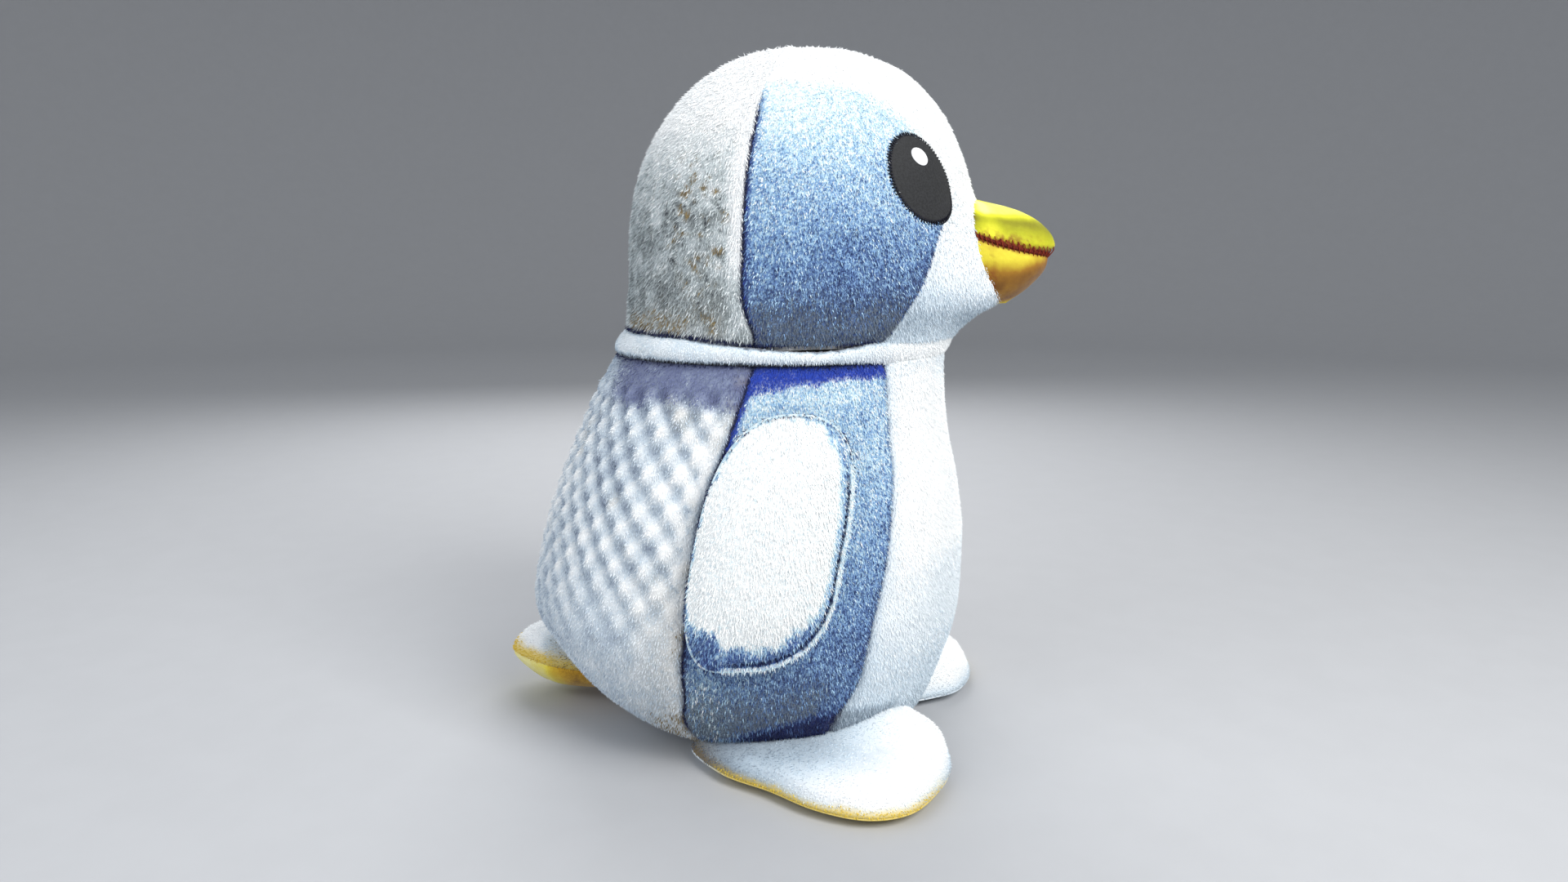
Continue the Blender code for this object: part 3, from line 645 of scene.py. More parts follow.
def panelShell(bottom, top, edges, depthOf, paint, extra=None):
    # one cut piece of cloth between two heights and two seams, with its moves square to the skin
    first, last = runAt(bottom), runAt(top) if top < form["crown"] else skinRun[-1]
    runs = sharedRows[(sharedRows > first + 0.2) & (sharedRows < last - 0.2)]
    runs = np.concatenate([[first], runs, [last]])
    height = heightAt(runs)
    first, last = edges(height)
    middle = skinPoint((first + last) / 2, runs)
    girth = np.linalg.norm(skinPoint(first, runs) - middle, axis=1) + np.linalg.norm(skinPoint(last, runs) - middle, axis=1)
    columns = max(6, int(girth.max() * 1.08 / fineStep))
    share = np.linspace(0, 1, columns)[None, :]
    around = first[:, None] + (last - first)[:, None] * share
    run = runs[:, None] + 0 * around
    tall = height[:, None] + 0 * around
    points = restingSkin(around, run)
    up = skinPoint(around, run + 0.5) - skinPoint(around, run - 0.5)
    normals = unit(np.cross(up, skinPoint(around + 0.01, run) - skinPoint(around - 0.01, run)))
    normals[run > skinRun[-1] - 2] = (0, 0, 1)
    normals *= np.sign(np.sum(normals * (points - (0, 0, 150)), axis=-1))[..., None]
    radius = np.linalg.norm(points[..., :2] - (0, 10), axis=-1)
    toFirst, toLast = (around - first[:, None]) * radius, (last[:, None] - around) * radius
    turn = (around + math.pi) % (2 * math.pi) - math.pi
    spot = {
        "points": points, "height": tall, "run": run, "around": np.degrees(np.abs(turn)), "side": np.sign(turn),
        "first": toFirst, "last": toLast, "seam": np.minimum(toFirst, toLast), "girth": np.radians(180) - np.abs(turn),
        "radius": radius,
    }
    dip = depthOf(spot)
    lumps = (layered(points, wrinkle["lumpSize"], 3) - 0.5) * wrinkle["lump"] * 2
    lumps += (layered(points, wrinkle["rippleSize"], 8) - 0.5) * wrinkle["ripple"] * 2
    raised = lumps - dip
    if extra is not None:
        raised = raised + extra(spot)
    return {"points": points + normals * raised[..., None], "normals": normals, "values": paint(spot)}


neckEdge = {"low": 162.6, "high": 169.4}
neckBand = {
    "topByAngle": [(0, 168.0), (46, 169.4), (66, 167.2), (88, 168.9), (114, 171.6), (143, 172.2), (180, 172.2)],
    "bottom": 163.3, "proud": 1.5, "fadeInFront": (34, 58),
}
eyeLook = {"around": 36.6, "height": 230.0, "halfAngle": 12.7, "halfHeight": 16.3, "lean": 0.25, "thick": 1.1, "dome": 1.0}
glintLook = {
    "around": 37.6, "height": 237.4, "halfAngle": 3.3, "halfHeight": 3.3, "lean": 0.25, "thick": 0.5, "dome": 0.35,
}


def underEye(spot):
    # 1 where the eye's patch covers the plush, so that no pile grows through it
    up = (spot["height"] - eyeLook["height"]) / eyeLook["halfHeight"]
    aside = (spot["around"] - eyeLook["around"]) / eyeLook["halfAngle"] - eyeLook["lean"] * up
    return np.where(aside**2 + up**2 < 0.93, 1.0, 0.0)


def underBase(spot):
    # 1 on the strip that touches the floor
    return np.where(spot["height"] < 2.6, 1.0, 0.0)


def neckShadowLine(spot):
    # painted shadow line just above the band, where the head overhangs it
    top = smoothCurve(neckBand["topByAngle"], 1, spot["around"])
    return np.exp(-(((spot["height"] - top - 0.9 + ragged(spot, 19) * 0.3) / 1.2) ** 2)) * ease(spot["around"], 40, 52)


def sewnLine(distance, spot, until=(250, 264)):
    # how dark the thread is along a seam, fading out towards the crown
    return np.exp(-((distance / 0.8) ** 2)) * (1 - ease(spot["height"], *until))


def neckDip(spot):
    near = np.minimum(np.abs(spot["height"] - neckEdge["low"]), np.abs(spot["height"] - neckEdge["high"]))
    return 1.3 * np.exp(-((near / 3.2) ** 2)) * ease(spot["around"], 30, 60)


def ragged(spot, seed=5):
    # the pile's uneven edge along a seam, in millimetres
    return (layered(spot["points"], 2.6, seed) - 0.5) * 2.2


# ---- back of the body: dotted minky

# shade sets the strength of the painted light and shade on each dot
minkyDots = {"pitch": 14.6, "rowSpacing": 7.4, "height": 2.8, "shade": 0.19, "fadeBottom": (44, 92), "fadeTop": (156, 148)}


def dotPattern(spot):
    across = spot["girth"] * 92 * spot["side"]
    up = spot["run"]
    wobble = (layered(spot["points"], 24, 21) - 0.5) * 3.5
    over = np.cos(2 * math.pi * (across + wobble) / minkyDots["pitch"])
    climb = math.pi * (up + wobble * 0.6) / minkyDots["rowSpacing"]
    fade = ease(spot["height"], *minkyDots["fadeBottom"]) * (1 - ease(spot["height"], minkyDots["fadeTop"][1], minkyDots["fadeTop"][0]))
    return over * np.cos(climb), over * np.sin(climb), fade * ease(spot["seam"], 2, 9)


def backDots(spot):
    beat, slope, fade = dotPattern(spot)
    return minkyDots["height"] * (np.sign(beat) * np.abs(beat) ** 0.75) * 0.5 * fade


def paintBack(spot):
    beat, slope, fade = dotPattern(spot)
    z, d = spot["height"], spot["seam"]
    patch = layered(spot["points"], 30, 31)
    fine = layered(spot["points"], 5, 33)
    tone = 0.24 + (patch - 0.5) * 0.34 + (fine - 0.5) * 0.34
    # painted light and shade on the dots: tops lighter and lower sides darker, as if lit from above
    tone -= (beat * 0.8 + slope * 0.9) * fade * minkyDots["shade"]
    # painted shadow under the collar: the top of the back panel is darker and takes a bluish-grey tint where the head
    # and collar overhang it; lower down it is darker where the back turns under, also painted shade
    upper = ease(z + (patch - 0.5) * 14, 144, 153)
    tone += 0.30 * upper * (1 - 0.8 * ease(d, 52, 74)) + 0.12 * (1 - ease(z, 15, 75))
    tone += 0.3 * ease(layered(spot["points"], 2.4, 34), 0.62, 0.74) * hump(d, 5, 7)
    tone -= 0.16 * np.exp(-((d / 16) ** 2)) * (1 - ease(z, 140, 155))
    # darker along the seam; the darkening at the collar's lower edge, here and in the line value, is painted shadow
    tone += 0.55 * np.exp(-(((d + ragged(spot)) / 1.5) ** 2)) + 0.25 * hump(z, 163, 3)
    stain = 0.42 * np.exp(-((d / 5) ** 2)) * ease(layered(spot["points"], 8, 35), 0.45, 0.75)
    stain += 0.30 * (1 - ease(z, 4, 40)) * ease(layered(spot["points"], 18, 37), 0.3, 0.7)
    stain += 0.25 * ease(layered(spot["points"], 14, 39), 0.66, 0.8) + 0.22 * (1 - ease(z, 60, 110)) * (1 - ease(d, 6, 34))
    lavender = upper * (0.55 + 0.35 * fine) * (1 - ease(d, 52, 74))
    return {"tone": np.clip(tone, 0, 1), "stain": np.clip(stain, 0, 0.8), "lavender": lavender,
            "line": np.maximum(0.9 * sewnLine(d, spot, (160, 163)), 0.8 * hump(z, 163, 1.4)),
            "bare": underBase(spot), "seamGap": d}


def paintSide(spot):
    z, front, back = spot["height"], spot["first"], spot["last"]
    front = np.where(spot["side"] > 0, spot["first"], spot["last"])
    back = np.where(spot["side"] > 0, spot["last"], spot["first"])
    # darker towards the bottom: partly the blue's own colour and partly painted shade where the body turns under; the
    # last 10 mm above the floor is painted shade
    tone = smoothCurve([(0, 0.78), (14, 0.70), (34, 0.64), (60, 0.56), (90, 0.46), (120, 0.36), (146, 0.24), (165, 0.24)], 1, z)
    tone += (layered(spot["points"], 20, 41) - 0.5) * 0.26 - 0.10 * ease(spot["around"], 66, 88) * (1 - ease(z, 40, 60))
    tone += 0.10 * np.exp(-((front / 4) ** 2)) + 0.5 * np.exp(-(((back + ragged(spot)) / 1.7) ** 2))
    tone += 0.2 * (1 - ease(z, 0, 10))
    # the dark blue band under the collar is partly painted shadow of the collar and head, darkest right under the band,
    # where the line value also darkens
    edge = 156.0 - 6.0 * ease(spot["around"], 52, 86) + (layered(spot["points"], 7, 43) - 0.5) * 4
    band = ease(z + ragged(spot, 9) * 1.4, edge, edge + 3)
    down = ease(z, 92, 140) * np.exp(-((np.maximum(back - 0.5, 0) / 2.0) ** 2))
    royal = np.clip(band * (0.7 + 0.3 * ease(z, 154, 158)) + down * 0.9, 0, 1)
    tone = tone + 0.35 * band * ease(z, 159, 163)
    stain = 0.25 * np.exp(-((back / 3) ** 2)) * ease(layered(spot["points"], 7, 45), 0.55, 0.75)
    # painted shadow along the crease where the foot meets the body: darker tone, more royal tint and the line tint
    crease = smoothCurve(footCrease, 1, -spot["points"][..., 1])
    low = 1 - ease(z - crease + ragged(spot, 49) * 1.5, 1.0, 6.5)
    low = low * (0.3 + 0.7 * (1 - ease(spot["around"], 78, 92)))
    slate = 0.6 * (1 - ease(z + (layered(spot["points"], 15, 47) - 0.5) * 16, 26, 66)) * ease(front, 3, 16) * (1 - low)
    royal = np.clip(royal + 0.5 * low, 0, 1)
    tone = tone + 0.18 * low - 0.22 * ease(spot["around"], 80, 92) * (1 - ease(z, 40, 62)) * (1 - low)
    line = np.maximum(0.95 * sewnLine(back, spot, (170, 171)), 0.9 * hump(z, 163, 1.6)) + 0.35 * sewnLine(front, spot, (170, 171)) + 0.62 * low
    return {"tone": np.clip(tone, 0, 1), "royal": royal, "stain": stain, "slate": slate, "line": np.clip(line, 0, 1),
            "bare": underBase(spot), "seamGap": spot["seam"]}


def paintBelly(spot):
    z = spot["height"]
    # darker towards the bottom, where the belly turns under: painted shade
    tone = smoothCurve([(0, 0.62), (15, 0.42), (35, 0.27), (70, 0.12), (105, 0.03), (135, 0.02), (163, 0.10)], 1, z)
    tone += (layered(spot["points"], 24, 51) - 0.5) * 0.12 + 0.10 * np.exp(-((spot["seam"] / 5) ** 2))
    tone += 0.25 * np.exp(-(((spot["seam"] + ragged(spot)) / 1.1) ** 2))
    # painted shadow along the crease where the foot meets the belly
    rise = z - smoothCurve(footCrease, 1, -spot["points"][..., 1])
    tone += 0.30 * (1 - ease(rise + ragged(spot, 55), 0, 5)) * ease(spot["around"], 26, 36)
    return {"tone": np.clip(tone, 0, 1), "stain": 0 * z, "line": 0.25 * sewnLine(spot["seam"], spot),
            "bare": underBase(spot), "seamGap": spot["seam"]}


def paintHeadBack(spot):
    z, d = spot["height"], spot["seam"]
    tone = smoothCurve([
        (163, 0.42), (176, 0.34), (186, 0.46), (200, 0.42), (216, 0.34), (234, 0.20), (246, 0.07), (254, 0), (284, 0)], 1, z)
    mottle = layered(spot["points"], 9, 61) * 0.5 + layered(spot["points"] * (1, 1, 0.5), 4.0, 63) * 0.5
    specks = ease(layered(spot["points"], 2.6, 69), 0.60, 0.72) * hump(z, 214, 24) * (0.4 + 0.6 * hump(d, 16, 14))
    tone += (mottle - 0.5) * 0.95 * ease(tone, 0.05, 0.4) + 0.45 * specks
    # painted light: lighter towards the middle of the back, where the head's outline catches the light
    tone *= 1 - 0.35 * ease(d, 42, 90)
    strip = ease(d + ragged(spot, 13), 3.5, 8)
    tone *= 1 - (1 - strip) * ease(z, 182, 204)
    stain = ease(layered(spot["points"], 3.0, 65), 0.56, 0.68) * hump(z, 216, 24) * (0.25 + 0.75 * hump(d, 15, 13)) * strip
    stain += 0.5 * hump(z, 176, 8) * ease(layered(spot["points"], 16, 67), 0.35, 0.75)
    line = np.maximum(0.95 * sewnLine(d + ragged(spot) * 0.35, spot), 0.9 * neckShadowLine(spot))
    return {"tone": np.clip(tone, 0, 1), "stain": np.clip(stain, 0, 0.8), "line": line, "seamGap": d}


def paintMask(spot):
    z = spot["height"]
    back = np.where(spot["side"] > 0, spot["last"], spot["first"])
    front = np.where(spot["side"] > 0, spot["first"], spot["last"])
    # the blue's own gradient, darker towards the neck with painted shade under the head, and paler at the crown with
    # painted light from above
    tone = smoothCurve([(163, 0.9), (171, 0.74), (180, 0.70), (192, 0.60), (206, 0.49), (222, 0.36), (238, 0.24), (252, 0.16), (262, 0.11), (266.5, 0.02)], 1, z)
    tone += (layered(spot["points"], 18, 71) - 0.5) * 0.24 * ease(tone, 0.0, 0.3)
    tone *= 1 - (1 - ease(front, 0, 12)) * ease(z, 222, 236)
    tone += 0.45 * np.exp(-(((back + ragged(spot)) / 2.0) ** 2)) * (1 - ease(z, 250, 266))
    tone += 0.16 * np.exp(-((front / 6) ** 2)) * (1 - ease(z, 205, 225))
    royal = 0.45 * np.exp(-(((back + ragged(spot, 15) * 1.2) / 2.4) ** 2)) * (1 - ease(z, 246, 264))
    slate = 0.62 * (1 - ease(z + (layered(spot["points"], 13, 73) - 0.5) * 14, 174, 200))
    line = np.maximum(sewnLine(back + ragged(spot, 17) * 0.35, spot), neckShadowLine(spot))
    return {"tone": np.clip(tone, 0, 1), "royal": royal, "stain": 0 * z, "slate": slate, "line": line,
            "bare": underEye(spot), "seamGap": spot["seam"]}


def paintFace(spot):
    z, around = spot["height"], spot["around"]
    # darker between about 170 and 190 mm, on the underside of the muzzle: painted shade
    tone = smoothCurve([(163, 0.12), (170, 0.30), (178, 0.44), (186, 0.24), (196, 0.10), (215, 0.06), (240, 0.03), (284, 0.0)], 1, z)
    tone += (layered(spot["points"], 16, 81) - 0.5) * 0.10
    side = ease(around, 20, 40) * 0.10
    return {"tone": np.clip(tone + side * (z < 230), 0, 1), "stain": 0 * z, "bare": underEye(spot), "seamGap": spot["seam"]}


def cheekFolds(spot):
    # soft pleats where the head is gathered into the neck
    low = hump(spot["height"], 172, 9)
    pleat = np.cos(np.radians(spot["around"]) * 26) * 0.5 + np.cos(np.radians(spot["around"]) * 17 + 1.3) * 0.4
    roll = hump(spot["height"] + 4 * np.sin(np.radians(spot["around"]) * 5), 188, 4.5)
    return pleat * 0.45 * low + roll * 0.5 * ease(spot["around"], 50, 80)


def bellyRipples(spot):
    # faint slanting creases where the belly is drawn in towards its seams
    slant = spot["run"] + np.radians(spot["around"]) * 22
    near = hump(spot["seam"], 9, 11) * hump(spot["height"], 70, 34)
    return 0.28 * np.sin(slant / 3.1 + (layered(spot["points"], 20, 53) - 0.5) * 5) * near


def plainDip(spot):
    return seamDip(spot["seam"]) + neckDip(spot)


def headBackDip(spot):
    return seamDip(spot["seam"]) * (1 - ease(spot["height"], 248, 264)) + neckDip(spot)


def maskDip(spot):
    front = np.where(spot["side"] > 0, spot["first"], spot["last"])
    back = np.where(spot["side"] > 0, spot["last"], spot["first"])
    soft = 1 - ease(spot["height"], 214, 232)
    return seamDip(back) * (1 - ease(spot["height"], 248, 264)) + seamDip(front) * 0.45 * soft + neckDip(spot)


def faceDip(spot):
    return seamDip(spot["seam"]) * 0.45 * (1 - ease(spot["height"], 214, 232)) + neckDip(spot)


def makeSkinPanels():
    both = ((1, "right"), (-1, "left"))

    def sided(low, high, side):
        return (low, high) if side > 0 else (-high, -low)

    def place(name, shell, cloth, slot, nodes):
        shell["thick"] = 1.4
        piece = makeMesh(name, [shell], (0, 5, 150), "torso")
        piece.data.materials.append(cloths[cloth])
        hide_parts(*nodes)
        return piece

    made = {}
    made["backPanel"] = place("backPanel", panelShell(0, neckEdge["low"], lambda h: (
        seamAt("torsoBack", h), 2 * math.pi - seamAt("torsoBack", h)), plainDip, paintBack, backDots),
        "silverMinky", "silver_minky", ["body_back_panel"])
    made["bellyPanel"] = place("bellyPanel", panelShell(0, neckEdge["low"], lambda h: (
        -seamAt("belly", h), seamAt("belly", h)), plainDip, paintBelly, bellyRipples), "whitePlush", "white_plush", ["belly_panel"])
    for side, word in both:
        made["flankPanel" + word] = place(f"flankPanel.{word}", panelShell(0, neckEdge["low"], lambda h: sided(
            seamAt("belly", h), seamAt("torsoBack", h), side), plainDip, paintSide),
            "bluePlush", "blue_plush", [f"body_side_panel_{word}"])
    made["headBack"] = place("headBackPanel", panelShell(neckEdge["high"], form["crown"], lambda h: (
        seamAt("headBack", h), 2 * math.pi - seamAt("headBack", h)), headBackDip, paintHeadBack, cheekFolds),
        "streakedFur", "silver_minky", ["head_back_panel"])

    def faceEdge(h):
        return np.where(h < maskTop, seamAt("mask", h), seamAt("headBack", h))

    made["face"] = place("facePanel", panelShell(neckEdge["high"], form["crown"], lambda h: (-faceEdge(h), faceEdge(h)),
                                                 faceDip, paintFace), "whitePlush", "white_plush", ["face_panel"])
    for side, word in both:
        made["mask" + word] = place(f"maskPanel.{word}", panelShell(neckEdge["high"], maskTop, lambda h: sided(
            seamAt("mask", h), seamAt("headBack", h), side), maskDip, paintMask, cheekFolds),
            "bluePlush", "blue_plush", [f"head_side_panel_{word}"])
    return made


skinPieces = makeSkinPanels()
print("body and head panels made")


# ---- the band round the neck

def makeNeckBand():
    columns = int(440 / fineStep)
    around = np.linspace(-math.pi, math.pi, columns, endpoint=False)[None, :]
    share = np.linspace(0, 1, 12)[:, None]
    angle = np.degrees(np.abs(around))
    top = smoothCurve(neckBand["topByAngle"], 1, angle)
    strength = ease(angle, *neckBand["fadeInFront"])
    overlap = 0.3 + 1.0 * (1 - strength)
    height = neckBand["bottom"] - overlap + (top - neckBand["bottom"] + 2 * overlap) * share
    run = runAt(height)
    points = restingSkin(around + 0 * share, run)
    normals = gridNormals(points, ring=True)
    normals *= np.sign(np.sum(normals * (points - (0, 0, 166)), axis=-1))[..., None]
    round_ = np.sqrt(np.maximum(0, 1 - (2 * share - 1) ** 2))
    wave = (layered(points, 7, 91) - 0.5) * 0.9
    proud = (neckBand["proud"] + wave * 0.5) * round_ * (0.25 + 0.75 * strength) - 1.1 * (1 - round_) - 0.2
    edge = np.abs(2 * share - 1)
    # darker at the top and bottom edges: painted shadow in the creases above and below the band
    tone = 0.05 + 0.28 * layered(points, 5, 93) * strength + 0.75 * ease(edge + (layered(points, 2.5, 95) - 0.5) * 0.5, 0.72, 1.02) * strength
    stain = 0.20 * ease(layered(points, 9, 97), 0.55, 0.75) * ease(angle, 80, 120)
    shell = {"points": points + normals * proud[..., None], "ring": True, "thick": 1.2,
             "values": {"tone": np.clip(tone, 0, 1), "stain": stain, "seamGap": 9.0}}
    band = makeMesh("neckBand", [shell], (0, 2, 166), "torso")
    band.data.materials.append(cloths["whitePlush"])
    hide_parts("neck_band")
    return band


skinPieces["band"] = makeNeckBand()


# ---- eyes: felt patches with a stitched edge

def patchShell(look, side, lift, rings=26, turns=110):
    share = np.linspace(0, 1, rings)[:, None] ** 0.8
    turn = np.linspace(0, 2 * math.pi, turns, endpoint=False)[None, :]
    aside = np.cos(turn) + look["lean"] * np.sin(turn)
    around = side * np.radians(look["around"] + look["halfAngle"] * share * aside)
    height = look["height"] + look["halfHeight"] * share * np.sin(turn)
    points = restingSkin(around, runAt(height))
    step = 0.4
    up = restingSkin(around, runAt(height + step)) - restingSkin(around, runAt(height - step))
    aside = restingSkin(around + 0.01, runAt(height)) - restingSkin(around - 0.01, runAt(height))
    normals = unit(np.cross(up, aside))
    normals *= np.sign(np.sum(normals * (points - (0, 0, 215)), axis=-1))[..., None]
    proud = lift + look["thick"] + look["dome"] * (1 - share**2.2) - look["thick"] * 0.9 * ease(share, 0.93, 1.0)
    return points + normals * proud[..., None], share + 0 * turn


feltBlack = plainMaterial("eyeFelt", (0.024, 0.025, 0.027), 0.62, 1400, 0.25, 0.3, sheen=0.1)
eyeThread = plainMaterial("eyeThread", (0.006, 0.007, 0.016), 0.4, 2600, 0.3, 0.3)
glintSatin = plainMaterial("glintSatin", (0.93, 0.94, 0.96), 0.35, 2200, 0.3, 0.05)


def makeEyes():
    for side, word in ((1, "right"), (-1, "left")):
        points, share = patchShell(eyeLook, side, -0.4)
        eye = makeMesh(f"eyePatch.{word}", [{"points": points, "ring": True, "thick": 0.9, "values": {"seamGap": 9.0}}],
                       (0, 0, 215), "torso")
        eye.data.materials.append(feltBlack)
        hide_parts(f"eye_{word}")
        points, share = patchShell(glintLook, side, eyeLook["thick"] + eyeLook["dome"] * 0.55 - 0.4, 12, 48)
        glint = makeMesh(f"eyeGlint.{word}", [{"points": points, "ring": True, "thick": 0.6, "values": {"seamGap": 9.0}}],
                         (0, 0, 215), "torso")
        glint.data.materials.append(glintSatin)
        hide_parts(f"eye_glint_{word}")


makeEyes()


# ---- beak: two felted halves with a stitched mouth line between them

beakForm = {
    "profile": [
        (91.3, 183), (95.5, 185.5), (101.5, 190.3), (107.0, 197.5), (108.2, 202.6), (110.4, 206),
        (109.4, 209.5), (104.5, 215), (96.4, 219.5), (87.5, 222.3), (79, 224),
    ],
    "mouthStop": 4, "centre": (86.0, 204.0), "halfWidth": 20.0, "low": 183.0, "high": 224.0, "mouthAngle": 0.34,
    "point": 1.25, "mouthHalf": 0.006, "dip": 0.75, "sag": 1.3,
}
beakCurve = byLength(beakForm["profile"])
mouthRun = beakCurve[beakForm["mouthStop"]][0]


def faceForward(across, height):
    run = runAt(height)
    ring = [np.interp(run, skinRun, skinRings[:, c]) for c in (1, 2, 3)]
    around = np.arcsin(np.clip(-across / ring[2], -1, 1))
    return -skinPoint(around, run)[..., 1]


def beakPoint(share, turn):
    length = np.where(share < 0, mouthRun * (1 + share), mouthRun + (beakCurve[-1][0] - mouthRun) * share)
    front, frontHeight = smoothCurve(beakCurve, 1, length), smoothCurve(beakCurve, 2, length)
    span = math.pi / 2 + np.where(share >= 0, -beakForm["mouthAngle"], beakForm["mouthAngle"])
    angle = beakForm["mouthAngle"] + span * share
    across = beakForm["halfWidth"] * np.cos(angle)
    baseHeight = (beakForm["low"] + beakForm["high"]) / 2 + (beakForm["high"] - beakForm["low"]) / 2 * np.sin(angle)
    side = np.sign(np.cos(turn)) * np.abs(np.cos(turn)) ** beakForm["point"] * across
    ahead = np.clip(np.sin(turn), 0, 1) ** beakForm["point"] * np.clip((1 - np.abs(share)) * 400, 0, 1)
    baseReach = faceForward(side, baseHeight) - 0.6
    height = baseHeight + (frontHeight - baseHeight) * ahead
    height = height - beakForm["sag"] * 4 * ahead * (1 - ahead) * np.clip(1 - np.abs(share) * 1.3, 0, 1) ** 2
    reach = baseReach + (front - baseReach) * ahead
    return np.stack([side, -reach, height], axis=-1)


def makeBeakHalf(name, first, last, rows, paint, cloth, nodes):
    coarse = beakPoint(np.linspace(first, last, 9)[:, None], np.linspace(0, math.pi, 25)[None, :])
    pins = np.zeros(coarse.shape[:2])
    pins[0] = pins[-1] = pins[:, 0] = pins[:, -1] = 1
    moves = puffed(name, [(coarse, False)], [pins], 1.4, 0.8, 0.3)[0]
    share = np.linspace(first, last, rows)[:, None]
    turn = np.linspace(0, math.pi, 120)[None, :]
    points = beakPoint(share, turn)
    points = points + readMoves(moves, (share - first) / (last - first) * 8 + 0 * turn, turn / math.pi * 24 + 0 * share)
    normals = gridNormals(points)
    normals *= np.sign(np.sum(normals * (points - (0, -88, 204)), axis=-1))[..., None]
    mouth = np.abs(share - (first if abs(first) < abs(last) else last)) * 22
    base = np.minimum(turn, math.pi - turn) / math.pi * 90
    dip = beakForm["dip"] * np.exp(-((mouth / 1.3) ** 2)) + 0.5 * np.exp(-((base / 1.6) ** 2))
    dip = dip - (layered(points, 9, 101) - 0.5) * 0.5
    points = points - normals * dip[..., None]
    spot = {"points": points, "share": share + 0 * turn, "base": base + 0 * share, "mouth": mouth + 0 * turn}
    shell = {"points": points, "thick": 1.2, "values": paint(spot)}
    half = makeMesh(name, [shell], (0, -80, 204), "torso")
    half.data.materials.append(cloth)
    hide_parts(*nodes)
    return half


def beakCloth(name, stops):
    shop = Shop(name)
    grain = shop.noise(700, 3.0, 0.6)
    tone = shop.attribute("tone") + (grain - 0.5) * 0.10
    colour = shop.node("ShaderNodeValToRGB", {"stops": stops}, [tone])
    red = shop.attribute("red") + (shop.noise(420, 2.0) - 0.5) * shop.attribute("red").between(0, 0.2)
    colour = shop.mixed(red.maths("MINIMUM", 1.0), colour, (0.20, 0.012, 0.008))
    fine = shop.noise(1700, 3.0, 0.6)
    bump = shop.node("ShaderNodeBump", None, {"Strength": 0.25, "Distance": 0.0006, "Height": fine + grain})
    return shop.finish(colour, grain * 0.15 + 0.60, bump, gloss=0.25, sheen=0.15)


upperCloth = beakCloth("beakYellow", [
    (0.0, (0.93, 0.91, 0.30)), (0.3, (0.83, 0.80, 0.035)), (0.6, (0.46, 0.47, 0.01)), (0.85, (0.25, 0.24, 0.008)),
    (1.0, (0.10, 0.05, 0.006)),
])
lowerCloth = beakCloth("beakGold", [
    (0.0, (0.86, 0.78, 0.05)), (0.3, (0.62, 0.47, 0.03)), (0.6, (0.36, 0.17, 0.015)), (0.85, (0.20, 0.08, 0.01)),
    (1.0, (0.09, 0.03, 0.005)),
])


def paintUpperBeak(spot):
    up = spot["share"]
    wave = (layered(spot["points"], 9, 109) - 0.5) * 0.12
    tone = 0.62 + 0.20 * hump(up + wave, 0.30, 0.10) - 0.10 * hump(up, 0.08, 0.08)
    # lighter above the middle of the upper half: painted highlight
    tone -= 0.44 * ease(up + wave, 0.31, 0.50) - 0.20 * ease(up, 0.74, 1.0)
    tone += (layered(spot["points"], 7, 103) - 0.5) * 0.16
    tone -= 0.22 * np.exp(-(((spot["base"] - 9) / 4) ** 2)) - 0.25 * np.exp(-((spot["base"] / 3) ** 2))
    rough = layered(spot["points"], 1.8, 110)
    red = 0.9 * np.exp(-((spot["mouth"] / 0.9) ** 2)) + ease(rough, 0.40, 0.62) * np.exp(-((spot["mouth"] / 2.6) ** 2)) * hump(
        spot["base"], 16, 14)
    return {"tone": np.clip(tone, 0, 1), "red": np.clip(red, 0, 1), "seamGap": 9.0}


def paintLowerBeak(spot):
    down = -spot["share"]
    tone = 0.14 + 0.60 * ease(down + 0.25 * ease(spot["base"], 14, 42), 0.14, 0.42) - 0.45 * ease(down, 0.78, 1.0)
    tone += (layered(spot["points"], 5, 105) - 0.5) * 0.42
    tone -= 0.35 * np.exp(-((spot["base"] / 2.4) ** 2))
    marks = ease(layered(spot["points"], 2.5, 107), 0.42, 0.62)
    red = 0.9 * np.exp(-((spot["mouth"] / 1.0) ** 2)) + 0.7 * hump(spot["base"], 5, 3.5) * marks * hump(down, 0.35, 0.25)
    return {"tone": np.clip(tone, 0, 1), "red": np.clip(red, 0, 1), "seamGap": 9.0}


makeBeakHalf("beakTop", beakForm["mouthHalf"], 1.0, 60, paintUpperBeak, upperCloth, ["beak_upper"])
makeBeakHalf("beakBottom", -1.0, -beakForm["mouthHalf"], 50, paintLowerBeak, lowerCloth, ["beak_lower"])


def makeMouthLine():
    # a sewn cord lying in the groove between the halves
    turn = np.linspace(0.02, math.pi - 0.02, 110)[None, :]
    loop = np.linspace(0, 2 * math.pi, 12, endpoint=False)[:, None]
    middle = beakPoint(0 * turn, turn)
    outward = unit(middle - (0, -86, middle[0, 0, 2])) * (1, 1, 0)
    radius = 0.75
    points = middle - outward * 0.65 + outward * np.cos(loop)[..., None] * radius + np.array((0, 0, 1)) * np.sin(loop)[..., None] * radius
    points = np.transpose(points, (1, 0, 2))
    shell = {"points": points, "ring": True, "thick": 0.5, "values": {"seamGap": 9.0}}
    line = makeMesh("mouthLine", [shell], (0, -70, 204), "torso")
    line.data.materials.append(plainMaterial("mouthCord", (0.12, 0.010, 0.005), 0.7, 1500, 0.5, 0.4))
    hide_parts("mouth_piping")


makeMouthLine()
print("face made")


# ---- sewing thread: short open paths swept into round thread by Geometry Nodes

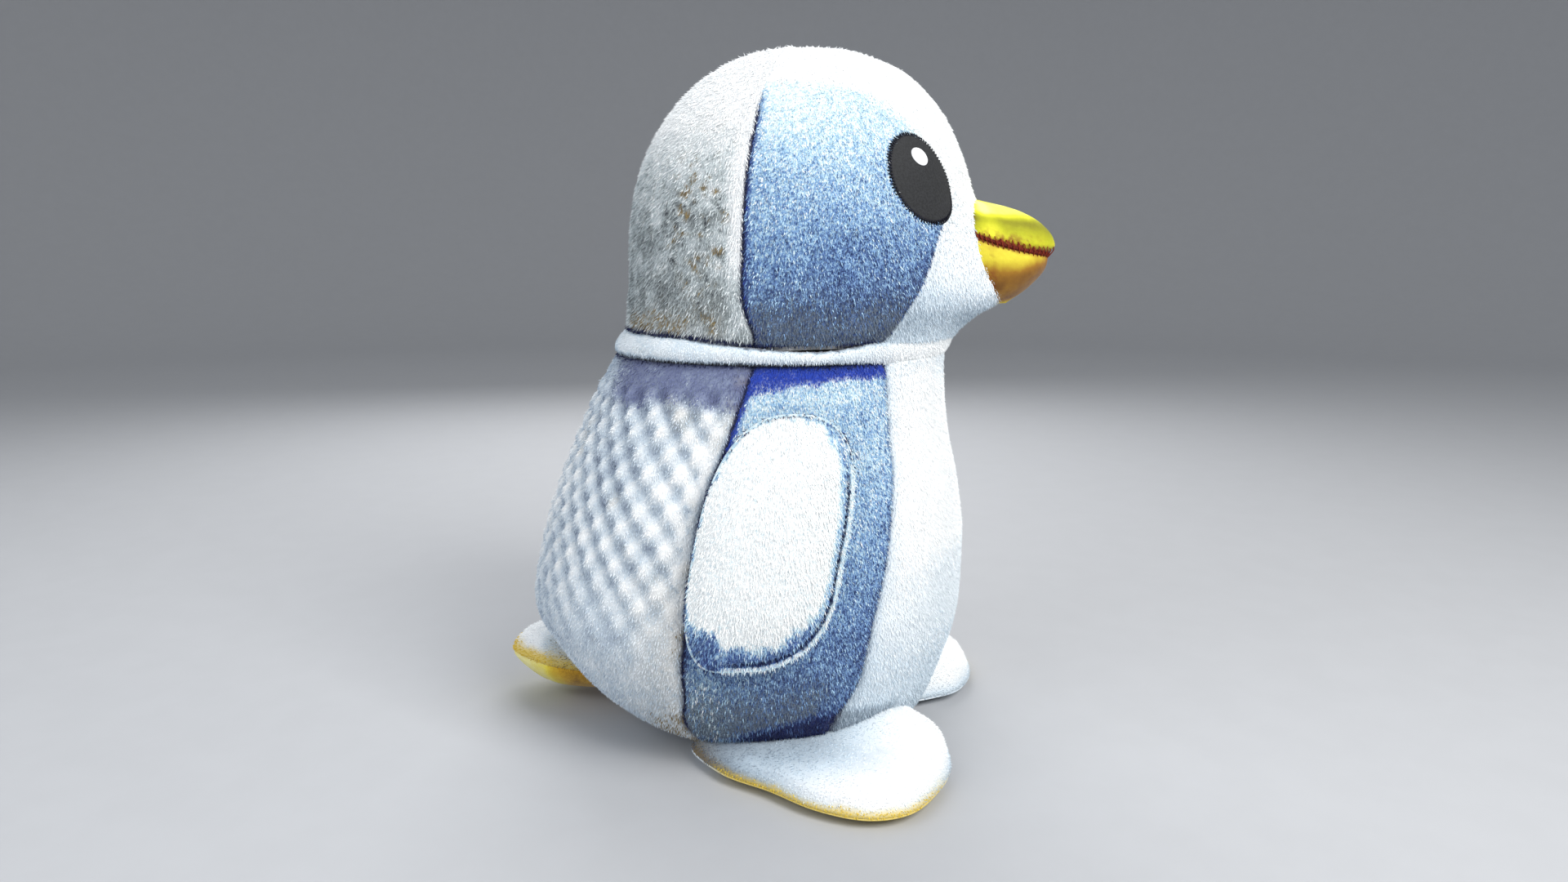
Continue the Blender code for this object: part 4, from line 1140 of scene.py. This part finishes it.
threadLook = {"eyeStitches": 84, "eyeRadius": 0.32, "mouthStitches": 34, "mouthRadius": 0.2, "steps": 6}


def makeThreadJig():
    jig = Jig("sewnThread", {"Radius": "NodeSocketFloat", "Steps": "NodeSocketInt", "Material": "NodeSocketMaterial"})
    path = jig.node("GeometryNodeMeshToCurve", None, {"Mesh": jig.given("Geometry")})
    soft = jig.node("GeometryNodeCurveSplineType", {"spline_type": "CATMULL_ROM"}, {"Curve": path})
    even = jig.node("GeometryNodeResampleCurve", None, {"Curve": soft, "Count": jig.given("Steps")})
    ring = jig.node("GeometryNodeCurvePrimitiveCircle", {"mode": "RADIUS"}, {"Resolution": 6, "Radius": jig.given("Radius")})
    swept = jig.node("GeometryNodeCurveToMesh", None, {"Curve": even, "Profile Curve": ring, "Fill Caps": True})
    whole = jig.node("GeometryNodeRealizeInstances", None, {"Geometry": swept})
    coloured = jig.node("GeometryNodeSetMaterial", None, {"Geometry": whole, "Material": jig.given("Material")})
    jig.join(jig.result.inputs["Geometry"], coloured)
    return jig


threadJig = makeThreadJig()


def sewThread(name, paths, radius, material):
    # paths: an array of paths, each a row of points in millimetres
    count, length = paths.shape[:2]
    mesh = bpy.data.meshes.new(name)
    edges = [(i * length + j, i * length + j + 1) for i in range(count) for j in range(length - 1)]
    mesh.from_pydata((paths.reshape(-1, 3) * mm).tolist(), edges, [])
    source = bpy.data.objects.new(name + "Path", mesh)
    thread = threadJig.run(name, source, {"Radius": radius * mm, "Steps": threadLook["steps"], "Material": material})
    bpy.data.objects.remove(source)
    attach(thread, "torso")
    return thread


def stitchEyes():
    # whipped stitches over the rim of each patch
    count = threadLook["eyeStitches"]
    for side, word in ((1, "right"), (-1, "left")):
        fine, share = patchShell(eyeLook, side, -0.4, 60, count * 2)
        inner, outer = fine[-6, ::2], fine[-1, ::2]
        ahead = np.roll(fine, -1, axis=1)[-1, ::2]
        away = unit(outer - inner)
        normal = unit(np.cross(ahead - outer, away))
        normal *= np.sign(np.sum(normal * (outer - (0, 0, 215)), axis=-1))[..., None]
        chance = cloud(outer, 1.1, 119)[:, None]
        slant = unit(ahead - outer) * 0.35
        paths = np.stack([
            inner - slant - normal * 0.15, (inner + outer) / 2 + normal * 0.42, outer + away * (0.2 + 0.4 * chance) + normal * 0.45,
            outer + slant + away * (0.4 + 0.8 * chance) - normal * 0.6,
        ], axis=1)
        sewThread(f"eyeStitches.{word}", paths, threadLook["eyeRadius"], eyeThread)


def stitchMouth():
    # slanting stitches that draw the two halves together, closest near the corners
    count = threadLook["mouthStitches"]
    place = np.linspace(0.04, 0.96, count)
    turn = math.pi * (0.5 - 0.5 * np.sign(0.5 - place) * np.abs(1 - 2 * place) ** 0.75)
    centre = np.array((0, -86, 204))
    rows = []
    for share, aside, proud in ((0.075, 0.03, -0.5), (0.04, 0.015, 0.35), (-0.01, -0.01, 0.25), (-0.05, -0.03, -0.6)):
        jitter = cloud(np.stack([place * 300, place * 0, place * 0], axis=-1), 2.0, 123 + int(share * 200)) - 0.5
        at = beakPoint(np.full(count, share * (1 + 0.5 * jitter)), turn + aside * np.sign(place - 0.5))
        rows.append(at + unit(at - centre) * proud)
    sewThread("mouthStitches", np.stack(rows, axis=1), threadLook["mouthRadius"], redThread)


redThread = plainMaterial("redThread", (0.22, 0.03, 0.008), 0.7, 1800, 0.4, 0.5)
stitchEyes()
stitchMouth()
print("stitches made")


# ---- flippers: an oval pad that hangs from its top edge

flipperForm = {
    "middle": 93.5, "above": 52.0, "below": 39.5, "halfWidth": 25.3, "upperPower": 2.5, "lowerPower": 3.3,
    "lean": 0.145, "baseForward": 7.0, "clearance": 1.3, "edge": 4.0, "swell": 6.6, "lobe": 2.4,
}


def flipperPlace(share, turn):
    cosine, sine = np.cos(turn), np.sin(turn)
    power = np.where(sine > 0, flipperForm["upperPower"], flipperForm["lowerPower"])
    extent = np.where(sine > 0, flipperForm["above"], flipperForm["below"] + flipperForm["lobe"] * cosine * sine * 2)
    across = np.sign(cosine) * np.abs(cosine) ** (2 / power) * flipperForm["halfWidth"] * share
    height = flipperForm["middle"] + np.sign(sine) * np.abs(sine) ** (2 / power) * extent * share
    lowest = flipperForm["middle"] - flipperForm["below"]
    forward = flipperForm["baseForward"] + (height - lowest) * flipperForm["lean"] + across
    return forward, height


def flipperShape(side, share, turn, lift):
    forward, height = flipperPlace(share, turn)
    front, back = smoothCurve(form["torso"], 1, height), smoothCurve(form["torso"], 2, height)
    around = side * np.arccos(np.clip((forward - (front - back) / 2) / ((front + back) / 2), -1, 1))
    points = skinPoint(around, runAt(height))
    step = 0.5
    up = skinPoint(around, runAt(height + step)) - skinPoint(around, runAt(height - step))
    aside = skinPoint(around + 0.01, runAt(height)) - skinPoint(around - 0.01, runAt(height))
    normals = unit(np.cross(up, aside))
    normals *= np.sign(np.sum(normals * (points - (0, 5, 90)), axis=-1))[..., None]
    return points + normals * lift[..., None]


def makeFlipper(side, word):
    low, edge = flipperForm["clearance"], flipperForm["edge"]
    rings, turns = 9, 40
    share, turn = np.linspace(0, 1, rings)[:, None], np.linspace(0, 2 * math.pi, turns, endpoint=False)[None, :]
    crown = low + edge + flipperForm["swell"] * (1 - share**3) + 0 * turn
    base = low + edge * share**6 + 0 * turn
    top, under = flipperShape(side, share, turn, crown), flipperShape(side, share, turn, base)
    pins = np.where(share > 0.95, 1.0, 0.1) + 0 * turn
    moves = puffed(f"flipper.{word}", [(top, True), (under, True)], [pins, np.maximum(pins, 0.7)], 2.6, 0.7, 1.0)
    fineRings, fineTurns = ((72, 210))
    share = np.linspace(0, 1, fineRings)[:, None] ** 0.9
    turn = np.linspace(0, 2 * math.pi, fineTurns, endpoint=False)[None, :]
    rowAt, columnAt = share * (rings - 1) + 0 * turn, turn / (2 * math.pi) * turns + 0 * share
    crown = low + edge + flipperForm["swell"] * (1 - share**3) + 0 * turn
    base = low + edge * share**6 + 0 * turn
    points = flipperShape(side, share, turn, crown) + readMoves(moves[0], rowAt, columnAt, ring=True)
    forward, height = flipperPlace(share, turn)
    rim = (1 - share) * flipperForm["halfWidth"]
    shapeNormals = gridNormals(points, ring=True)
    shapeNormals *= np.sign(np.sum(shapeNormals * (points - (0, 5, 90)), axis=-1))[..., None]
    free = ease(-np.sin(turn) * 0.6 + 0.9 * np.cos(turn), 0.15, 0.7)
    groove = 0.8 * np.exp(-(((rim - 1.7) / 0.6) ** 2)) * free
    raised = -groove + (layered(points, 15, 111) - 0.5) * 1.1 + (layered(points, 6, 113) - 0.5) * 0.4
    points = points + shapeNormals * raised[..., None]
    lower = ease(-np.sin(turn), 0.25, 0.95)
    frontward = ease(np.cos(turn), 0.1, 0.9)
    heel = ease(-np.cos(turn), 0.1, 0.8) * lower
    upperBack = ease(np.sin(turn) - np.cos(turn), 0.2, 1.2)
    width = 1.6 + 4.2 * lower + 3.0 * frontward + 4.5 * heel - 0.9 * upperBack
    fringe = rim + (layered(points * (1, 1, 0.6), 2.4, 115) - 0.5) * (3.0 + 3.5 * lower)
    blue = 1 - ease(fringe, width * 0.45, width * 1.15)
    tone = blue * (0.34 + 0.26 * lower + 0.10 * heel) + (layered(points, 6, 117) - 0.5) * 0.12 * blue
    tone = np.where((rim < 1.1) & (free > 0.4), 0.10, tone)
    # the dark rim along the top and back edges, where the pad lies against the body, is painted shade
    line = np.maximum(0.95 * np.exp(-(((rim - 1.7) / 0.5) ** 2)) * free, 0.9 * np.exp(-((rim / 0.6) ** 2)) * (1 - free))
    values = {"tone": np.clip(tone, 0, 1), "royal": 0.25 * blue * lower, "stain": 0 * tone, "slate": 0.4 * heel * blue,
              "line": line, "seamGap": rim + 0 * turn}
    lining = flipperShape(side, share, turn, base) + readMoves(moves[1], rowAt, columnAt, ring=True)
    liningTone = {"tone": 0.16 + 0.3 * ease(rim, 2, 12) + 0 * turn, "royal": 0 * tone, "stain": 0 * tone, "slate": 0 * tone,
                  "seamGap": rim + 0 * turn}
    inside = flipperShape(side, np.array([[0.0]]), np.array([[0.0]]), np.array([[low + edge]]))[0, 0]
    outer = makeMesh(f"flipperPad.{word}", [{"points": points, "ring": True, "thick": 1.0, "values": values}], inside,
                     None)
    back = makeMesh(f"flipperLining.{word}", [{"points": lining, "ring": True, "thick": 0.7, "values": liningTone}],
                    inside, None)
    for piece in (outer, back):
        piece.data.materials.append(cloths["bluePlush"])
    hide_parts(f"flipper_outer_{word}", f"flipper_stuffing_{word}")
    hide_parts(f"flipper_lining_{word}")
    return outer, back


def hinge(name):
    joint = next(j for j in frame["record"]["behaviour"]["joints"] if j["name"] == name)
    return Vector(joint["pos_m"]), Vector(joint["axis"])


flippers = {}
for side, word in ((1, "right"), (-1, "left")):
    flippers[word] = makeFlipper(side, word)
print("flippers made")


# ---- feet: broad flat pads sewn under the body

footForm = {
    "outline": [
        (-26, 52), (-8, 72), (14, 81), (34, 90.5), (54, 93), (69, 84), (77, 64), (79, 47), (75, 30), (66, 20),
        (54, 12), (36, 10), (14, 18), (-10, 30),
    ],
    "centre": (34.0, 54.0), "rim": 6.0, "crown": 17.5,
    "soleFloor": 0.5, "soleRise": 3.4,
}


def closedLoop(points, count):
    points = np.array(points, float)
    place = np.linspace(0, len(points), count, endpoint=False)
    i = np.floor(place).astype(int)
    t = (place - i)[:, None]
    a, b, c, d = (points[(i + k) % len(points)] for k in (-1, 0, 1, 2))
    return 0.5 * (2 * b + (c - a) * t + (2 * a - 5 * b + 4 * c - d) * t**2 + (3 * b - a - 3 * c + d) * t**3)


def footTop(share, forward, across):
    # the top rises from the rounded rim to the crease under the body
    edge = 1 - np.clip(share, 0, 1) ** 4
    rimmed = footForm["rim"] + (footForm["crown"] - footForm["rim"]) * np.sqrt(np.maximum(edge, 0))
    wall = smoothCurve(footCrease, 1, forward)
    inward = ease(-across, -62, -38)
    return rimmed + (wall - footForm["crown"]) * inward * np.sqrt(np.maximum(edge, 0))


def footGrid(side, share, rims, height):
    centre = np.array(footForm["centre"])
    place = centre + (rims - centre) * share
    return np.stack([-side * place[..., 1], -place[..., 0], height(share[..., 0], place[..., 0], place[..., 1])], axis=-1)


def soleHeight(share, forward, across):
    up = np.clip(share - 0.72, 0, 1) / 0.28
    return footForm["soleFloor"] + footForm["soleRise"] * up**2 + 0 * forward


def makeFoot(side, word):
    rings, turns = 9, 44
    share = np.linspace(0, 1, rings)[:, None, None]
    rims = closedLoop(footForm["outline"], turns)[None]
    top, sole = footGrid(side, share + 0 * rims[..., :1], rims, footTop), footGrid(side, share + 0 * rims[..., :1], rims, soleHeight)
    pins = np.where(share[..., 0] > 0.95, 0.9, 0.15) + 0 * rims[..., 0]
    middle = (top[-1] + sole[-1]) / 2
    top[-1] = sole[-1] = middle
    moves = puffed(f"foot.{word}", [(top, True), (sole, True)], [pins, np.maximum(pins, 0.85)], 2.4, 0.6, 1.2)
    fineRings, fineTurns = ((70, 210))
    share = np.linspace(0, 1, fineRings)[:, None, None] ** 0.8
    rims = closedLoop(footForm["outline"], fineTurns)[None]
    full = share + 0 * rims[..., :1]
    rowAt = full[..., 0] * (rings - 1)
    columnAt = (np.arange(fineTurns) / fineTurns * turns)[None, :] + 0 * rowAt
    points = footGrid(side, full, rims, footTop)
    under = footGrid(side, full, rims, soleHeight)
    edge = footForm["soleFloor"] + footForm["soleRise"]
    roll = np.clip((full[..., 0] - 0.93) / 0.07, 0, 1)
    points[..., 2] = points[..., 2] * (1 - roll**2) + (edge + 0.8) * roll**2
    points = points + readMoves(moves[0], rowAt, columnAt, ring=True)
    under = under + readMoves(moves[1], rowAt, columnAt, ring=True) * 0.5
    under[..., 2] = np.maximum(under[..., 2], 0.3)
    normals = gridNormals(points, ring=True)
    normals *= np.sign(normals[..., 2] + 1e-6)[..., None]
    forward, across = -points[..., 1], np.abs(points[..., 0])
    raised = (layered(points, 22, 121) - 0.5) * 1.2 + (layered(points, 8, 123) - 0.5) * 0.3
    rim = (1 - full[..., 0]) * 40
    raised = raised - 0.5 * np.exp(-((rim / 1.2) ** 2))
    points = points + normals * (raised * (1 - roll))[..., None]
    # painted shade: the foot's top greyer blue next to the body
    near = ease(-across, -93, -70) * (1 - ease(forward, 18, 64))
    tone = 0.04 + 0.58 * near + (layered(points, 14, 125) - 0.5) * 0.10 + 0.15 * (1 - ease(forward, -26, 6))
    low = 1 - ease(points[..., 2] + (layered(points, 9, 127) - 0.5) * 3.0, 4.0, 8.5)
    yellow = 0.85 * low * ease(across, 48, 66) * ease(forward, -22, 0) * (1 - ease(forward, 70, 86))
    stain = 0.5 * (1 - ease(forward, -26, -2)) * ease(layered(points, 8, 129), 0.35, 0.7) + 0.3 * low * (1 - ease(forward, -10, 15))
    tone = tone + 0.35 * np.exp(-((rim / 0.8) ** 2))
    values = {"tone": np.clip(tone, 0, 1), "yellow": np.clip(yellow, 0, 1), "stain": np.clip(stain, 0, 0.8), "seamGap": rim}
    inside = (-side * footForm["centre"][1], -footForm["centre"][0], 6)
    upper = makeMesh(f"footTop.{word}", [{"points": points, "ring": True, "thick": 1.0, "values": values}], inside,
                     None)
    soleYellow = 0.85 * ease(np.abs(under[..., 0]), 44, 62) * ease(-under[..., 1], -22, 0) * (1 - ease(-under[..., 1], 72, 88))
    soleTone = {"tone": 0.15 + 0.25 * layered(under, 12, 131), "yellow": soleYellow, "stain": 0 * rim, "seamGap": rim}
    lower = makeMesh(f"footSole.{word}", [{"points": under, "ring": True, "thick": 0.8, "values": soleTone}], inside,
                     None)
    upper.data.materials.append(cloths["footFleece"])
    lower.data.materials.append(cloths["footFleece"])
    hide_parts(f"foot_upper_{word}", f"foot_stuffing_{word}")
    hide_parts(f"foot_sole_{word}")
    return upper, lower


feet = {word: makeFoot(side, word) for side, word in ((1, "right"), (-1, "left"))}
print("feet made")


# ---- tail

tailForm = {
    "sections": [
        (85, 29.5, 57, 6.5, 20), (92, 32, 80, 4, 23), (107, 33.3, 100, 2.6, 21.5), (116, 32.8, 110, 3.4, 18.5),
        (124, 29.6, 120, 7.4, 14.5),
        (130, 24.6, 128, 12.2, 9.5), (134, 18, 134, 18, 0),
    ],
}


def tailPoint(share, turn):
    rows = [(i, *section) for i, section in enumerate(tailForm["sections"])]
    place = share * (len(rows) - 1)
    topReach, top, lowReach, low, half = (smoothCurve(rows, c, place) for c in range(1, 6))
    half = half * np.clip((1 - share) * 40, 0, 1) ** 0.5
    rise = (1 + np.sin(turn)) / 2
    return np.stack([half * np.cos(turn), lowReach + (topReach - lowReach) * rise, low + (top - low) * rise], axis=-1)


def makeTail():
    rings, turns = 12, 32
    coarse = tailPoint(np.linspace(0, 1, rings)[:, None], np.linspace(0, 2 * math.pi, turns, endpoint=False)[None, :])
    pins = np.zeros(coarse.shape[:2])
    pins[:2] = 1
    moves = puffed("tail", [(coarse, True)], [np.maximum(pins, 0.2)], 2.0, 0.7, 1.2)[0]
    for name, start, cloth, slot, nodes in (
        ("tailTop", 0.0, "footFleece", "cream_fleece", ["tail_upper", "tail_stuffing"]),
        ("tailUnder", math.pi, "yellowFleece", "yellow_fleece", ["tail_lower"]),
    ):
        share = np.linspace(0, 1, 70)[:, None]
        turn = start + np.linspace(0, math.pi, 80)[None, :]
        rowAt, columnAt = share * (rings - 1) + 0 * turn, turn / (2 * math.pi) * turns + 0 * share
        points = tailPoint(share, turn) + readMoves(moves, rowAt, columnAt, ring=True)
        seam = np.minimum(turn - start, start + math.pi - turn) / math.pi * 44
        normals = gridNormals(points)
        normals *= np.sign(np.sum(normals * (points - (0, 108, 17)), axis=-1))[..., None]
        raised = (layered(points, 14, 141) - 0.5) * 0.9 - 0.7 * np.exp(-((seam / 1.2) ** 2))
        points = points + normals * (raised * np.clip((1 - share) * 12, 0, 1))[..., None]
        # darker at the root, under the overhang of the body: painted shade
        rooty = 1 - ease(share + (layered(points, 9, 143) - 0.5) * 0.15, 0.22, 0.50)
        if start == 0.0:
            tone = 0.03 + 0.45 * rooty + (layered(points, 10, 145) - 0.5) * 0.12
            tipward = ease(share, 0.33, 0.92)
            yellow = 0.9 * (1 - ease(points[..., 2] + (layered(points, 7, 147) - 0.5) * 5, 19 + 1.5 * tipward, 27 + 1.5 * tipward))
            values = {"tone": np.clip(tone, 0, 1), "yellow": yellow, "stain": 0.45 * rooty, "seamGap": seam + 0 * share}
        else:
            tone = 0.16 + 0.55 * rooty + (layered(points, 8, 149) - 0.5) * 0.3
            values = {"tone": np.clip(tone, 0, 1), "seamGap": seam + 0 * share}
        tail = makeMesh(name, [{"points": points, "thick": 1.0, "values": values}], (0, 108, 17), None)
        tail.data.materials.append(cloths[cloth])
        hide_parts(*nodes)
        tails.append(tail)


tails = []
makeTail()
print("tail made")


# ---- short pile: leaning tufts grown over the plush by Geometry Nodes

pileLook = {"perSquareMetre": 1.25e6, "length": 0.0015, "width": 0.00026, "lean": 1.15, "scatter": 0.45, "seed": 7,
            "toneScatter": {"blue": 0.38, "white": 0.08, "silver": 0.12, "streaked": 0.26}}
shadeSteps = (0.0, 0.15, 0.32, 0.48, 0.66, 0.88)


def rampColour(stops, at):
    places = [place for place, colour in stops]
    return tuple(float(np.interp(at, places, [colour[c] for place, colour in stops])) for c in range(3))


def pileMaterial(name, colour):
    shop = Shop(name)
    # painted light: each thread a little lighter than the cloth, for tips catching the light
    shop.join(shop.shader.inputs["Base Color"], tuple(min(1.0, c * 1.04) for c in colour))
    shop.join(shop.shader.inputs["Roughness"], 0.88)
    shop.join(shop.shader.inputs["Specular IOR Level"], 0.12)
    shop.join(shop.shader.inputs["Sheen Weight"], 0.2)
    return shop.material


def pileJig(cloth, tintNames):
    # points on the outer side carry the cloth's tone; each tuft takes the nearest of a few thread colours
    kinds = {
        "Density": "NodeSocketFloat", "Length": "NodeSocketFloat", "Width": "NodeSocketFloat",
        "Lean": "NodeSocketFloat", "Scatter": "NodeSocketFloat", "Seed": "NodeSocketInt",
        "Tone scatter": "NodeSocketFloat", "Nap": "NodeSocketVector",
    }
    jig = Jig(f"pile{cloth}", kinds)
    seed = jig.given("Seed")
    spots = jig.tree.nodes.new("GeometryNodeDistributePointsOnFaces")
    jig.join(spots.inputs["Mesh"], jig.given("Geometry"))
    jig.join(spots.inputs["Selection"], (jig.field("outerSide") - jig.field("bare")).maths("GREATER_THAN", 0.5))
    jig.join(spots.inputs["Density"], jig.given("Density"))
    jig.join(spots.inputs["Seed"], seed)
    normal = Wire(jig, spots.outputs["Normal"])
    lively = jig.field("tone").maths("MULTIPLY_ADD", 3.0, 0.1, clamp=True) * jig.given("Tone scatter")
    toned = jig.field("tone") + jig.chance(-1.0, 1.0, seed + 1) * lively
    kept = jig.node("GeometryNodeStoreNamedAttribute", {"data_type": "FLOAT", "domain": "POINT"},
                    {"Geometry": Wire(jig, spots.outputs["Points"]), "Name": "thread", "Value": toned})
    sway = jig.node("FunctionNodeRandomValue", {"data_type": "FLOAT_VECTOR"}, {0: (-1, -1, -1), 1: (1, 1, 1), "Seed": seed + 2})
    lying = jig.vector("SCALE", jig.given("Nap"), jig.given("Lean"))
    loose = jig.vector("SCALE", sway, jig.given("Scatter"))
    aim = jig.vector("ADD", jig.vector("ADD", normal, lying), loose)
    turned = jig.node("FunctionNodeAlignRotationToVector", {"axis": "Z"}, {"Vector": aim})
    tuft = jig.node("GeometryNodeMeshCone", {"fill_type": "NGON"}, {
        "Vertices": 3, "Side Segments": 1, "Fill Segments": 1, "Radius Top": 0.0, "Radius Bottom": jig.given("Width"),
        "Depth": jig.given("Length")})
    size = jig.chance(0.6, 1.25, seed + 3)
    planted = jig.node("GeometryNodeInstanceOnPoints", None, {
        "Points": kept, "Instance": tuft, "Rotation": turned, "Scale": size})
    whole = jig.node("GeometryNodeRealizeInstances", None, {"Geometry": planted})
    lowest = -9.0
    for i, step in enumerate(shadeSteps):
        shade = pileMaterial(f"{cloth}Thread{i}", rampColour(plushStops[clothStops[cloth]], step))
        chosen = jig.field("thread").maths("GREATER_THAN", lowest)
        whole = jig.node("GeometryNodeSetMaterial", None, {"Geometry": whole, "Selection": chosen, "Material": shade})
        lowest = (step + shadeSteps[min(i + 1, len(shadeSteps) - 1)]) / 2
    for tint in tintNames:
        shade = pileMaterial(f"{cloth}{tint.capitalize()}Thread", tints[tint])
        chosen = (jig.field(tint) - jig.chance(0.25, 0.7, seed + 4)).maths("GREATER_THAN", 0.0)
        whole = jig.node("GeometryNodeSetMaterial", None, {"Geometry": whole, "Selection": chosen, "Material": shade})
    jig.join(jig.result.inputs["Geometry"], whole)
    return jig


clothStops = {"bluePlush": "blue", "whitePlush": "white", "silverMinky": "silver", "streakedFur": "streaked",
              "footFleece": "white"}
clothTints = {"bluePlush": ("slate", "royal", "stain", "line"), "whitePlush": ("stain", "line"),
              "silverMinky": ("lavender", "stain", "line"), "streakedFur": ("stain", "line"), "footFleece": ("yellow", "stain")}
pileJigs = {cloth: pileJig(cloth, clothTints[cloth]) for cloth in clothStops}


def growPile(name, base, cloth, nap=(0, 0, -1), density=1.0, length=1.0):
    thin = 1.0
    pile = pileJigs[cloth].run(name, base, {
        "Density": pileLook["perSquareMetre"] * density * thin, "Length": pileLook["length"] * length,
        "Width": pileLook["width"], "Lean": pileLook["lean"], "Scatter": pileLook["scatter"], "Seed": pileLook["seed"],
        "Tone scatter": pileLook["toneScatter"][clothStops[cloth]], "Nap": nap})
    print(f"{name}: {len(pile.data.polygons)} faces")
    return pile


for key, cloth, slot, density, length in (
    ("backPanel", "silverMinky", "silver_minky", 0.8, 0.8), ("bellyPanel", "whitePlush", "white_plush", 1.0, 0.85),
    ("flankPanelright", "bluePlush", "blue_plush", 1.2, 0.9), ("flankPanelleft", "bluePlush", "blue_plush", 1.2, 0.9),
    ("headBack", "streakedFur", "silver_minky", 1.1, 1.25), ("face", "whitePlush", "white_plush", 1.0, 0.85),
    ("maskright", "bluePlush", "blue_plush", 1.3, 0.9), ("maskleft", "bluePlush", "blue_plush", 1.3, 0.9),
    ("band", "whitePlush", "white_plush", 1.6, 0.6),
):
    pile = growPile(f"pile.{key}", skinPieces[key], cloth, density=density, length=length)
    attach(pile, "torso")
for word in ("right", "left"):
    flippers[word] = (*flippers[word], growPile(f"pile.flipper.{word}", flippers[word][0], "bluePlush", density=1.3))
    feet[word] = (*feet[word], growPile(f"pile.foot.{word}", feet[word][0], "footFleece",
                                        nap=(0, -0.5, -0.4), density=0.9, length=0.55))
tails.append(growPile("pile.tail", tails[0], "footFleece", nap=(0, 0.8, -0.3), density=0.9, length=0.6))
print("pile grown")


# ---- flipper, foot and tail pieces: their transforms baked into the meshes

for word, sign in (("right", -1), ("left", 1)):
    root, axis = hinge(f"{word}_flipper_flap")
    for piece in flippers[word]:
        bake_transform(piece)
    root, axis = hinge(f"{word}_foot_lift")
    across = Vector((0, 0, 1)).cross(axis).normalized()
    across = across if across.x * sign > 0 else -across
    for piece in feet[word]:
        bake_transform(piece)
root, axis = hinge("tail_lift")
for piece in tails:
    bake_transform(piece)


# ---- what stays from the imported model: the base panel, the filling and the pellet bag

fibre = plainMaterial("stuffingFibre", (0.86, 0.86, 0.85), 0.95, 500, 0.8, 0.08)
bagCloth = plainMaterial("bagCloth", (0.50, 0.48, 0.43), 0.9, 1500, 0.6, 0.15)
baseCloth = plainMaterial("baseCloth", (0.48, 0.54, 0.60), 0.9, 1100, 0.5, 0.12, sheen=0.2)
for name, node in frame["nodes"].items():
    finish = bagCloth if name == "pellet_bag" else baseCloth if name == "base_panel" else fibre
    for slotPlace in node.material_slots:
        slotPlace.material = finish


# ---- floor, lights and camera

studio = {
    "camera": (-0.4395, -0.1096, 0.203), "lens": 24.44, "tiltDown": 10,
    "floor": (0.50, 0.51, 0.53), "sky": 0.50, "sweepRadius": 3.2, "sweepCurve": 1.2, "sweepTop": 2.6,
    "lamps": [
        {"place": (-0.55, -0.75, 0.85), "size": 0.6, "watts": 13.2, "colour": (1.0, 0.99, 0.97)},
        {"place": (-0.80, 0.60, 0.55), "size": 0.9, "watts": 5.0, "colour": (0.93, 0.96, 1.0)},
        {"place": (0.7, 0.3, 0.7), "size": 0.8, "watts": 5.5, "colour": (1.0, 1.0, 1.0)},
    ],
}


def makeStudio():
    scene = bpy.context.scene
    data = bpy.data.cameras.new("camera")
    data.lens, data.sensor_width = studio["lens"], 36
    data.clip_start = 0.01
    camera = bpy.data.objects.new("camera", data)
    scene.collection.objects.link(camera)
    camera.location = studio["camera"]
    turn = math.atan2(studio["camera"][0], -studio["camera"][1])
    camera.rotation_euler = (math.radians(90 - studio["tiltDown"]), 0, turn)
    scene.camera = camera
    # a round floor that sweeps up into a wall
    radius, curve = studio["sweepRadius"], studio["sweepCurve"]
    path = [(0.3 * radius, 0), (radius - curve, 0)]
    for step in range(1, 13):
        angle = math.pi / 2 * step / 12
        path.append((radius - curve + curve * math.sin(angle), curve - curve * math.cos(angle)))
    path.append((radius, studio["sweepTop"]))
    turns = 72
    places = [(0, 0, 0)]
    for reach, rise in path:
        places += [(reach * math.cos(2 * math.pi * k / turns), reach * math.sin(2 * math.pi * k / turns), rise) for k in range(turns)]
    faces = [(0, 1 + k, 1 + (k + 1) % turns) for k in range(turns)]
    for ring in range(len(path) - 1):
        low, high = 1 + ring * turns, 1 + (ring + 1) * turns
        faces += [(low + k, high + k, high + (k + 1) % turns, low + (k + 1) % turns) for k in range(turns)]
    floorMesh = bpy.data.meshes.new("studioFloor")
    floorMesh.from_pydata(places, [], faces)
    floorMesh.shade_smooth()
    floor = bpy.data.objects.new("studioFloor", floorMesh)
    scene.collection.objects.link(floor)
    floorMesh.materials.append(plainMaterial("floorPaint", studio["floor"], 0.7, 40, 0.02, 0.01))
    world = bpy.data.worlds.new("studioSky")
    world.use_nodes = True
    sky = world.node_tree.nodes["Background"]
    sky.inputs["Color"].default_value = (0.93, 0.96, 1.0, 1)
    sky.inputs["Strength"].default_value = studio["sky"]
    scene.world = world
    for i, lamp in enumerate(studio["lamps"]):
        light = bpy.data.lights.new(f"softLamp{i}", "AREA")
        light.energy, light.size, light.color = lamp["watts"], lamp["size"], lamp["colour"]
        holder = bpy.data.objects.new(f"softLamp{i}", light)
        scene.collection.objects.link(holder)
        holder.location = lamp["place"]
        holder.rotation_euler = (Vector((0, 0, 0.14)) - holder.location).to_track_quat("-Z", "Y").to_euler()
    scene.view_settings.view_transform = "Standard"


makeStudio()
print("studio made")
